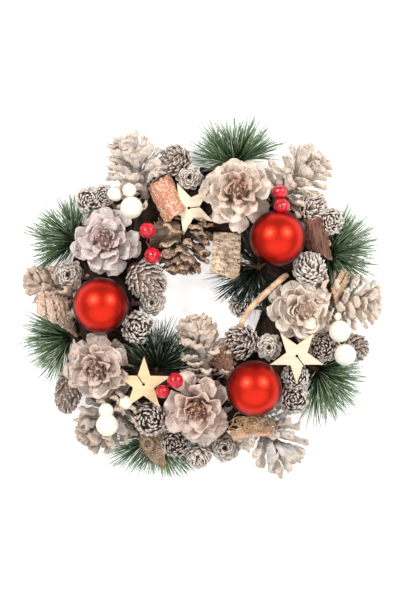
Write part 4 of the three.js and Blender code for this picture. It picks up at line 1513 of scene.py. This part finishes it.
@dataclass
class Sprigs:
    """Cream foam balls and sugared red berries on wires."""

    foam_crumbs: float = 0.03
    sugar_crumbs: float = 0.07
    wire: float = 0.6
    stem_bow: Triple = (1, 1, 1)
    wire_bow: Triple = (0.8, -0.8, 0.6)
    sprigs: dict[str, Sprig] = field(default_factory=lambda: {
        "cream_berries_upper_left": Sprig((-44, 60, 18), (-53, 72, 34), (
            Berry((-49.3, 66.3, 46), 7.9), Berry((-50.8, 78.8, 43), 5), Berry((-61.3, 76, 40), 5.1, 1.15))),
        "cream_berries_right": Sprig((78, -24, 16), (98, -28, 26), (
            Berry((99.8, -22.1, 38), 7.8), Berry((98.5, -11.5, 38), 2.6, 1.2),
            Berry((104.1, -39, 30), 7.9))),
        "cream_berries_lower_left": Sprig((-50, -64, 14), (-62, -78, 30), (
            Berry((-66.8, -89.1, 42), 7.9), Berry((-67.6, -78.9, 40), 5.3),
            Berry((-54.3, -73.3, 37), 5.1))),
        "red_berries_top_right": Sprig((50, 62, 14), (58, 73, 38), (
            Berry((56.6, 77.5, 46), 5.3, 1, 0.1), Berry((58, 67.2, 48), 5.8, 1, 0.8))),
        "red_berries_left": Sprig((-40, 43, 14), (-39, 42, 32), (
            Berry((-37.7, 50, 42), 5.8), Berry((-34.3, 32.3, 38), 5.9, 1, 0.4))),
        "red_berries_lower_left": Sprig((-25, -62, 16), (-25, -62, 42), (
            Berry((-27.1, -65, 49), 4.8, 1, 0.3), Berry((-17.9, -57, 51), 5.7, 1, 0.4))),
    })

    def model_ball(self, crumble: float, seed: int) -> Shape:
        """Models a ball of radius one whose skin is crumbly.

        Args:
            crumble: the depth of the crumbs as a share of the radius.
            seed: which crumbs.
        """
        deselect()
        bpy.ops.mesh.primitive_ico_sphere_add(subdivisions=5, radius=1)
        ball = bpy.context.active_object
        points = np.array([vertex.co for vertex in ball.data.vertices])
        relief = 0.6 * lumps(points, 0.5, seed) + 0.4 * lumps(points, 0.16, seed + 3)
        set_points(ball, points * (1 + crumble * relief)[:, None])
        return Shape.taken_from(ball)

    def wire_between(self, start: Triple, end: Triple, bow: Triple) -> Shape:
        """Returns a wire between two places, pushed out of the straight by a bow in its middle."""
        first = np.array(start, float)
        return rod([start, mix(first, np.array(end, float), 0.5) + bow, end], self.wire)

    def build(self) -> None:
        """Builds each sprig's balls and wires; each berry is turned, so that no two look alike."""
        foam, sugar = self.model_ball(self.foam_crumbs, 1), self.model_ball(self.sugar_crumbs, 2)
        cream, red = FoamFinish().material(), BerryFinish().material()
        cream_wire = WoodFinish("cream_wire", (236, 226, 200), (190, 170, 130)).material()
        brown_wire = WoodFinish("brown_wire", (120, 70, 50), (70, 36, 26)).material()
        for number, (name, sprig) in enumerate(self.sprigs.items()):
            is_cream = name.startswith("cream")
            ball, skin, coat = (foam, cream, cream_wire) if is_cream else (sugar, red, brown_wire)
            slot = "cream_foam" if is_cream else "berry_red"
            balls, wires = Bunch("frost"), Bunch("along", "tone")
            wires.add(self.wire_between(sprig.foot, sprig.fork, self.stem_bow))
            for place, berry in enumerate(sprig.berries):
                turn = turned_to(unit(np.array(berry.at) - np.array(sprig.fork)))
                size = berry.radius * np.array([1 / math.sqrt(berry.stretch)] * 2 + [berry.stretch])
                if berry.stretch == 1:
                    turn = turn @ turned_to((math.sin(place * 2.1), math.cos(number), 0.6))
                balls.add(ball, placed(turn, berry.at, size), frost=berry.frost)
                wires.add(self.wire_between(sprig.fork, berry.at, self.wire_bow))
            declare(balls.build(f"{name}_balls", skin), slot, name)
            declare(wires.build(f"{name}_wires", coat), slot, name)


# Bark, fibres and the stick


@dataclass(frozen=True)
class BarkSheet:
    """One sheet of bark: its four corners, its finish, how far it arches and how rough and ragged it is.

    A sheet that is torn along has several strips, each given by the shares across where it starts and ends.
    """

    corners: tuple[Triple, Triple, Triple, Triple]
    arch: float
    finish: BarkFinish
    wall: float = 2.0
    roughness: float = 0.9
    ragged: float = 0.05
    strips: tuple[tuple[float, float], ...] = ((0.0, 1.0),)


# Each bark's ridges, furrows and lichen, the share that lichen covers, and its broken rims
ORANGE_BARK = BarkFinish("orange", (218, 150, 114), (190, 118, 86), (246, 222, 208), 0.78, (210, 152, 116))
OLIVE_BARK = BarkFinish("olive", (138, 120, 104), (86, 72, 60), (176, 164, 146), 0.4, (198, 166, 130),
                        furrows=3)
BIRCH_BARK = BarkFinish("birch", (236, 208, 178), (112, 82, 60), (246, 228, 206), 0.65, (232, 198, 164),
                        furrows=2)
PURPLE_BARK = BarkFinish("purple", (148, 106, 90), (80, 54, 46), (192, 160, 146), 0.46, (236, 198, 162),
                         furrows=3)
ROLL_BARK = BarkFinish("roll", (248, 216, 194), (150, 112, 92), (252, 238, 226), 0.7, (240, 202, 170))
CURL_BARK = BarkFinish("curl", (148, 110, 90), (84, 56, 42), (206, 180, 160), 0.52, (206, 162, 124),
                       furrows=3)
KNOT_BARK = BarkFinish("knot", (184, 156, 130), (100, 78, 58), (220, 202, 182), 0.6, (214, 176, 138))
PEEL_BARK = BarkFinish("peel", (236, 200, 170), (170, 124, 96), (250, 230, 212), 0.6, (226, 168, 132))
STRIP_BARK = BarkFinish("strip", (222, 192, 160), (156, 120, 90), (238, 220, 198), 0.5, (222, 184, 144))


@dataclass
class Bark:
    """Sheets, curls and chips of bark, one of them with a knot."""

    sheets: dict[str, BarkSheet] = field(default_factory=lambda: {
        "bark_orange_curl": BarkSheet(
            ((-38.5, 81.5, 21), (-25.5, 55, 31), (-10.6, 66.4, 33), (-22, 92.1, 20)), 9, ORANGE_BARK),
        "bark_olive": BarkSheet(
            ((-33, 57, 26), (-15, 58, 26), (-14.3, 40, 24), (-37, 38, 24)), 9, OLIVE_BARK),
        "birch_chip": BarkSheet(
            ((9.6, 49.6, 21), (29.4, 48.3, 21), (27.8, 15.1, 33), (7.4, 20.2, 32)), 0, BIRCH_BARK,
            wall=3.2, roughness=0.5, ragged=0.02),
        "bark_purple_curl": BarkSheet(
            ((74, 57, 29), (76, 37, 27), (95, 30, 21), (90, 61, 24)), 7, PURPLE_BARK, ragged=0.08),
        "bark_roll_left": BarkSheet(
            ((-119, 9, 24), (-119, -8, 20), (-88.1, -27, 12), (-97, 2, 20)), 10, ROLL_BARK,
            roughness=1.4, strips=((0.0, 0.25), (0.31, 0.52), (0.58, 1.0))),
        "bark_conical_curl": BarkSheet(
            ((18.3, -31.6, 32), (24, -41, 30), (19, -58, 24), (5.9, -43.4, 24)), 7, CURL_BARK),
        "bark_with_knot": BarkSheet(
            ((-45, -79, 13), (-26, -86, 13), (-26, -124, 5), (-44, -112, 5)), 5, KNOT_BARK, roughness=1.2),
        "canoe_peel": BarkSheet(
            ((18, -88, 35), (51, -87, 38), (52, -95, 38), (24, -100, 33)), -4, PEEL_BARK,
            wall=1.6, roughness=0.6, strips=((0.5, 1.0),)),
        "bark_strips_right": BarkSheet(
            ((94, 9, 32.5), (103, 24, 23), (109, 19, 23), (98, -2, 33.5)), 2, STRIP_BARK,
            roughness=0.6, ragged=0.02, strips=((0.0, 0.44), (0.56, 1.0))),
    })
    columns: int = 40
    rows: int = 48
    swell: float = 0.8
    rim_bands: int = 8
    knot_sheet: str = "bark_with_knot"
    knot_place: tuple[float, float] = (0.66, 0.65)
    knot_size: tuple[float, float] = (3.4, 3.9)
    knot_lip: float = 1.3
    knot_rise: float = 1.2
    knot_steps: int = 33
    knot_sides: int = 9

    def spot(self, sheet: BarkSheet, along: np.ndarray, across: np.ndarray) -> np.ndarray:
        """Returns places on a sheet at shares along and across it."""
        a, b, c, d = (np.asarray(corner, float) for corner in sheet.corners)
        if np.cross(b - a, d - a)[2] <= 0:
            a, b, c, d = b, a, d, c
        u, v = along[:, None], across[:, None]
        place = (a + (b - a) * u) * (1 - v) + (d + (c - d) * u) * v
        place[:, 2] += (sheet.arch * (1 - (2 * across - 1) ** 2)
                        + self.swell * np.sin(7 * along + 5 * across))
        return place

    def relief(self, sheet: BarkSheet, strip: tuple[float, float], x: np.ndarray, y: np.ndarray,
               seed: int) -> np.ndarray:
        """Returns the places of a strip's points: on the sheet, ragged at its rims, raised into ridges.

        Args:
            sheet: the sheet's layout.
            strip: the shares across it between which this strip lies.
            x: the points' places across the strip, from -1 to 1.
            y: their places along it, from 0 to 1.
            seed: which furrows.
        """
        v, u = strip[0] + (strip[1] - strip[0]) * (x + 1) / 2, y
        grid = np.stack([u, v, 0 * u], axis=1)
        bands = self.rim_bands
        end = np.clip(1 - bands * np.minimum(u, 1 - u), 0, 1)
        edge = np.clip(bands * np.abs(x) - (bands - 1), 0, 1)
        u = u + sheet.ragged * end * lumps(grid, 0.11, seed) * np.where(u > 0.5, 1, -1)
        v = v + sheet.ragged * edge * lumps(grid, 0.09, seed + 5)
        place = self.spot(sheet, u, v)
        step = 1e-3
        side = np.cross(self.spot(sheet, u + step, v) - place, self.spot(sheet, u, v + step) - place)
        normal = side / np.linalg.norm(side, axis=1, keepdims=True)
        normal *= np.where(normal[:, 2:] < 0, -1, 1)
        lanes = np.stack([u * 3, v * 14 * (strip[1] - strip[0]), 0 * u], axis=1)
        furrow = -np.abs(lumps(lanes, 1.0, seed)) * 1.5 + 0.5 * lumps(place, 2.2, seed + 2)
        return place + normal * (sheet.roughness * (furrow + 0.4))[:, None]

    def model(self, sheet: BarkSheet, strip: tuple[float, float], seed: int) -> Shape:
        """Models one strip of a sheet as a closed shape.

        Args:
            sheet: the sheet's layout.
            strip: the shares across it between which this strip lies.
            seed: which furrows.
        """
        piece, x, y = grid_sheet(self.columns, self.rows)
        set_points(piece, self.relief(sheet, strip, x, y, seed))
        select_only(piece)
        middle = len(piece.data.polygons) // 2
        if piece.data.polygons[middle].normal.z < 0:
            piece.data.flip_normals()
        depth = np.full(len(x), sheet.wall) * (0.75 + 0.25 * (1 - np.abs(x) ** 6))
        shape = thickened(piece, depth, False)
        side_rim = np.abs(shape.values["across"]) ** 14
        end_rim = np.abs(2 * shape.values["along"] - 1) ** 24
        shape.values["rim"] = np.maximum(side_rim, end_rim)
        return shape

    def knot(self, sheet: BarkSheet) -> Shape:
        """Returns the raised lip round the knot of a sheet."""
        along, across = self.knot_place
        wide, high = self.knot_size
        turn = np.linspace(0, 2 * math.pi, self.knot_steps)
        centre = self.spot(sheet, np.array([along]), np.array([across]))[0] + (0, 0, self.knot_rise)
        ring = centre + np.stack([wide * np.cos(turn), high * np.sin(turn), 0.3 * np.sin(3 * turn)], 1)
        return sweep(ring[None], (self.knot_lip + 0.2 * np.sin(5 * turn))[None], self.knot_sides)

    def build(self) -> None:
        """Builds each sheet with its strips, and the knot."""
        for number, (name, sheet) in enumerate(self.sheets.items()):
            bunch = Bunch("along", "across", "rim", "under", "tone")
            for place, strip in enumerate(sheet.strips):
                bunch.add(self.model(sheet, strip, 3 * number + place), tone=0.1 * number + 0.05 * place)
            if name == self.knot_sheet:
                bunch.add(self.knot(sheet), tone=0.3, along=0.5)
            declare(bunch.build(f"{name}_sheet", sheet.finish.material()), "bark", name)


@dataclass
class CurlyFibres:
    """The tangle of fine curly fibres that lies in the canoe-shaped peel, with one thicker loop."""

    middle: Triple = (35.5, -88.5, 36.8)
    count: int = 34
    steps: int = 26
    sides: int = 5
    seed: int = 8
    loop_middle: Triple = (36.8, -87.0, 38.5)
    loop_size: Triple = (4.6, 3.8, 1.8)
    loop_radius: float = 0.42
    loop_steps: int = 40
    loop_sides: int = 7

    def fibre(self, number: int, random: np.random.Generator) -> Shape:
        """Returns one fibre, a drawn-out curl of about one turn."""
        turn = np.linspace(0, random.uniform(1.2, 2.2) * math.pi, self.steps) + random.uniform(0, 6.3)
        reach = random.uniform(2.5, 9.0) * (1 + 0.25 * np.sin(3 * turn + number))
        drift = np.linspace(-1, 1, self.steps) * random.uniform(-6, 6)
        x = self.middle[0] + random.uniform(-9, 9) + reach * np.cos(turn) + drift
        y = self.middle[1] + random.uniform(-2, 2) + 0.62 * reach * np.sin(turn)
        z = self.middle[2] + random.uniform(-2, 1.5) + 1.6 * np.sin(1.7 * turn + number)
        path = np.stack([x, y, z], axis=1)
        return sweep(path[None], np.full((1, self.steps), random.uniform(0.16, 0.3)), self.sides)

    def loop(self) -> Shape:
        """Returns the loop that stands up out of the tangle."""
        turn = np.linspace(0, 2 * math.pi, self.loop_steps)
        circle = np.stack([np.cos(turn), np.sin(turn), np.sin(turn)], axis=1)
        path = np.array(self.loop_middle) + np.array(self.loop_size) * circle
        return sweep(path[None], np.full((1, self.loop_steps), self.loop_radius), self.loop_sides)

    def build(self) -> None:
        """Builds the tangle as one piece."""
        random = np.random.default_rng(self.seed)
        tangle = Bunch("along", "tone")
        for number in range(self.count):
            tangle.add(self.fibre(number, random), tone=random.uniform(0, 1))
        tangle.add(self.loop(), tone=0.2)
        finish = WoodFinish("fibre", (228, 192, 152), (176, 136, 98))
        declare(tangle.build("curly_fibres", finish.material()), "bark", "canoe_peel")


@dataclass
class RattanStick:
    """The curved, ribbed stick across the upper right."""

    radius: float = 2.2
    steps: int = 60
    sides: int = 20
    wide_groove: float = 0.1
    fine_groove: float = 0.05
    path: tuple[Triple, ...] = (
        (62.5, 18.9, 26), (50, 8.2, 33), (37.1, -4.3, 35), (30.7, -13.9, 32), (28.6, -19.5, 28))

    def build(self) -> None:
        """Builds the stick with grooves along it and cut ends."""
        shape = rod(self.path, 1.0, self.sides, self.steps)
        skin = self.steps * self.sides
        centre = np.repeat(curve_through(self.path, self.steps), self.sides, axis=0)
        spoke = shape.points[:skin] - centre
        side = np.tile(np.arange(self.sides), self.steps)
        groove = 1 - self.wide_groove * (side % 3 == 0) - self.fine_groove * (side % 7 == 0)
        swell = self.radius * (1 + 0.1 * lumps(centre, 9.0, 4) + 0.06 * lumps(shape.points[:skin], 2.5, 9))
        shape.points[:skin] = centre + spoke * (groove * swell)[:, None]
        bunch = Bunch("along", "tone")
        bunch.add(shape, tone=0.25)
        finish = WoodFinish("rattan", (250, 216, 182), (178, 134, 102), 0.75)
        declare(bunch.build("ribbed_stick", finish.material()), "rattan", "rattan_stick")


# Needles


OUTER_NEEDLES = NeedleFinish()
# Painted shade: the inner and shaded finishes are darker copies of the needles, for the sprays that lie in
# shadow inside the ring.
SHADED_INNER_NEEDLES = NeedleFinish("inner", (5, 12, 6), (20, 38, 20), (66, 86, 58), (196, 204, 190))
SHADED_NEEDLES = NeedleFinish("shaded", (2, 7, 3), (9, 24, 11), (34, 60, 36), (132, 144, 128))


@dataclass(frozen=True)
class Spray:
    """One spray: the foot that its twigs leave, each twig's bearing, length and rise, and the finish."""

    foot: Triple
    twigs: tuple[Triple, ...]
    finish: NeedleFinish = OUTER_NEEDLES


@dataclass
class NeedleSprays:
    """The sprays of frosted needles that show between the other pieces.

    Needles leave a twig at a wide angle near its foot and along it at its tip. Those that would leave the
    wreath's outline, or cross a room or a clearing, are left out.
    """

    needle: float = 28.0
    per_twig: int = 84
    twig: float = 1.1
    widest: float = 48.0
    closing: float = 44.0
    straightest: float = 2.0
    aims_above: float = 1.5
    lowest: float = 1.2
    radii: tuple[float, ...] = (0.3, 0.33, 0.31, 0.24, 0.1)
    seed: int = 200
    edges: tuple[tuple[float, float], tuple[float, float]] = ((-138.5, -134.0), (135.5, 141.0))
    sprays: dict[str, Spray] = field(default_factory=lambda: {
        "top": Spray((25, 98, 12), ((40, 22, 4), (66, 22, 14), (95, 20, 2), (130, 22, 6), (165, 16, 8))),
        "upper_left": Spray((-89, 42, 12), (
            (105, 20, 6), (138, 22, 14), (172, 24, 2), (205, 20, 6), (70, 14, 6))),
        "lower_left": Spray((-92, -26, 12), (
            (150, 22, 6), (180, 24, 12), (208, 22, 2), (235, 20, 8), (120, 12, 4))),
        "right": Spray((92, 34, 12), (
            (64, 20, 10), (36, 24, 4), (8, 22, 12), (-26, 20, 2), (-70, 16, 10), (105, 12, 10))),
        "lower_right": Spray((84, -50, 12), (
            (-18, 20, 6), (-42, 24, 13), (-66, 25, 3), (-92, 24, 7), (20, 14, 4))),
        "bottom": Spray((-31, -98, 5), (
            (-150, 24, 1), (-108, 22, 0), (-72, 20, 0), (-40, 20, 1), (170, 14, 2))),
        "inner_left": Spray((-32, -50, 24), (
            (35, 16, 4), (75, 18, 12), (110, 20, 4), (160, 10, 16), (92, 20, 18),
            (55, 14, 24)), SHADED_INNER_NEEDLES),
        "inner_right": Spray((42, 24, 24), (
            (140, 14, 4), (188, 18, 4), (215, 20, 10), (245, 14, 4), (95, 12, 14), (285, 14, 14),
            (235, 18, 22), (170, 16, 18)), SHADED_NEEDLES),
    })

    def free(self, paths: np.ndarray) -> np.ndarray:
        """Tells which needles stay inside the outline and clear of every room and clearing."""
        flat, height = paths[:, :, :2], paths[:, :, 2]
        free = ((flat > self.edges[0]) & (flat < self.edges[1])).all(axis=(1, 2))
        for room in BAUBLE_ROOMS:
            free &= room.distance(paths).min(axis=1) > room.reach
        for clearing in chain.from_iterable(CLEARINGS.values()):
            near = np.hypot(flat[:, :, 0] - clearing.at[0], flat[:, :, 1] - clearing.at[1]) < clearing.reach
            free &= ~(near & (height > clearing.level)).any(axis=1)
        return free

    def needles(self, foot: np.ndarray, way: np.ndarray, length: float,
                random: np.random.Generator) -> Shape:
        """Returns the needles of one twig.

        Args:
            foot: where the twig starts.
            way: the twig's direction.
            length: its length.
            random: the seeded source of the needles' angles and sizes.
        """
        count = self.per_twig
        share = random.uniform(0.02, 0.72, count)
        angle = self.widest - self.closing * share + random.uniform(-14, 10, count)
        spread = np.radians(np.maximum(angle, self.straightest))
        turn = random.uniform(0, 2 * math.pi, count)
        size = self.needle * random.uniform(0.7, 1.12, count)
        local = np.stack([np.sin(spread) * np.cos(turn), np.sin(spread) * np.sin(turn), np.cos(spread)], 1)
        aim = local @ turned_to(way).T
        start = foot + way * (share * length)[:, None]
        aim[:, 2] = np.maximum(aim[:, 2], (self.aims_above - start[:, 2]) / size)
        sideways = np.cross(aim, random.normal(size=(count, 3)))
        bow = sideways * (random.uniform(0.02, 0.12, count) * size)[:, None]
        steps = np.linspace(0, 1, len(self.radii))
        paths = (start[:, None] + aim[:, None] * (size[:, None] * steps)[:, :, None]
                 + bow[:, None] * (steps ** 2)[None, :, None])
        paths[:, :, 2] = np.maximum(paths[:, :, 2], self.lowest)
        free = self.free(paths)
        thick = np.array(self.radii)[None] * random.uniform(0.85, 1.2, (count, 1))
        free[0] |= not free.any()
        shape = sweep(paths[free], thick[free], 3)
        tone = random.uniform(0, 1, int(free.sum()))
        shape.values["tone"] = np.repeat(tone, len(shape.points) // len(tone))
        return shape

    def build(self) -> None:
        """Builds each spray's needles and its twigs."""
        greens = {finish: finish.material() for finish in (OUTER_NEEDLES, SHADED_INNER_NEEDLES, SHADED_NEEDLES)}
        bark = WoodFinish("needle_twig", (104, 78, 54), (52, 40, 28)).material()
        for number, (name, spray) in enumerate(self.sprays.items()):
            random = np.random.default_rng(self.seed + number)
            foot = np.asarray(spray.foot, float)
            leaves, stems = Bunch("along", "tone"), Bunch("along", "tone")
            stems.add(rod([ring_seat(spray.foot), spray.foot], self.twig * 1.3), tone=0.5)
            for towards, length, rise in spray.twigs:
                way = np.array(bearing(towards, rise))
                leaves.add(self.needles(foot, way, length, random))
                twig = rod([foot, foot + way * length], self.twig, taper=0.45)
                stems.add(twig, tone=random.uniform(0, 1))
            green = greens[spray.finish]
            declare(leaves.build(f"needle_spray_{name}", green), "pine_green", f"needles_{name}")
            declare(stems.build(f"needle_twigs_{name}", bark), "pine_green", f"needles_{name}")


# Studio


@dataclass(frozen=True)
class Lamp:
    """One soft oval light: the way to it from the wreath, its power in watts and its size in metres."""

    direction: Triple
    power: float
    wide: float
    high: float


@dataclass
class Studio:
    """The table, the soft lights and the camera straight above; its sizes are in metres."""

    camera_height: float = 2.0
    lens: float = 245.8
    sensor: float = 36.0
    table: float = 6.0
    table_drop: float = 0.0002
    table_glow: float = 0.58
    room_light: float = 0.32
    lamp_distance: float = 1.3
    lamps: dict[str, Lamp] = field(default_factory=lambda: {
        "left_window": Lamp((-0.49, 0.36, 0.79), 9.6, 0.38, 0.34),
        "right_window": Lamp((0.61, 0.37, 0.69), 8.4, 0.42, 0.36),
        "front_fill": Lamp((0.05, -0.62, 0.78), 11.5, 3.2, 1.7),
    })

    def floor(self) -> None:
        """Adds the pale table top, which glows faintly, as the photograph's white ground does."""
        deselect()
        bpy.ops.mesh.primitive_plane_add(size=self.table, location=(0, 0, -self.table_drop))
        floor = bpy.context.active_object
        floor.name = "table_top"
        paint = Paint("pale_table", Specular_IOR_Level=0.1, Emission_Strength=self.table_glow)
        paint.shader.inputs["Emission Color"].default_value = WHITE
        colour = paint.blend(paint.noise(9), (252, 252, 252), (250, 250, 250))
        floor.data.materials.append(paint.finish(colour, 0.9))

    def light(self, name: str, lamp: Lamp) -> None:
        """Adds one light that faces the wreath."""
        way = Vector(unit(lamp.direction))
        area = bpy.data.lights.new(name, "AREA")
        area.shape, area.energy, area.size, area.size_y = "ELLIPSE", lamp.power, lamp.wide, lamp.high
        holder = bpy.data.objects.new(name, area)
        holder.location = Vector(unit(lamp.direction) * self.lamp_distance)
        holder.rotation_euler = way.to_track_quat("Z", "Y").to_euler()
        bpy.context.scene.collection.objects.link(holder)

    def camera(self) -> None:
        """Adds the camera that looks straight down on the wreath."""
        lens = bpy.data.cameras.new("camera")
        lens.sensor_fit, lens.sensor_width, lens.lens = "HORIZONTAL", self.sensor, self.lens
        lens.clip_end = 10 * self.camera_height
        holder = bpy.data.objects.new("camera", lens)
        holder.location = (SHIFT[0] * METRES, SHIFT[1] * METRES, self.camera_height)
        bpy.context.scene.collection.objects.link(holder)
        bpy.context.scene.camera = holder

    def build(self) -> None:
        """Sets up table, lights, camera and colour handling."""
        self.floor()
        for name, lamp in self.lamps.items():
            self.light(name, lamp)
        self.camera()
        world = bpy.data.worlds.new("studio")
        world.use_nodes = True
        background = next(node for node in world.node_tree.nodes if node.type == "BACKGROUND")
        background.inputs["Color"].default_value = WHITE
        background.inputs["Strength"].default_value = self.room_light
        bpy.context.scene.world = world
        bpy.context.scene.view_settings.view_transform = "Standard"


def dress() -> None:
    """Builds the studio and every part of the wreath."""
    logging.basicConfig(level=logging.INFO, format="%(message)s")
    for assembly in (Studio, TwigRing, BigCones, SideCones, SmallCones, Baubles, Stars, Sprigs, Bark,
                     CurlyFibres, RattanStick, NeedleSprays):
        LOG.info("building %s", assembly.__name__)
        assembly().build()
    bpy.context.view_layer.update()


if __name__ == "__main__":
    dress()
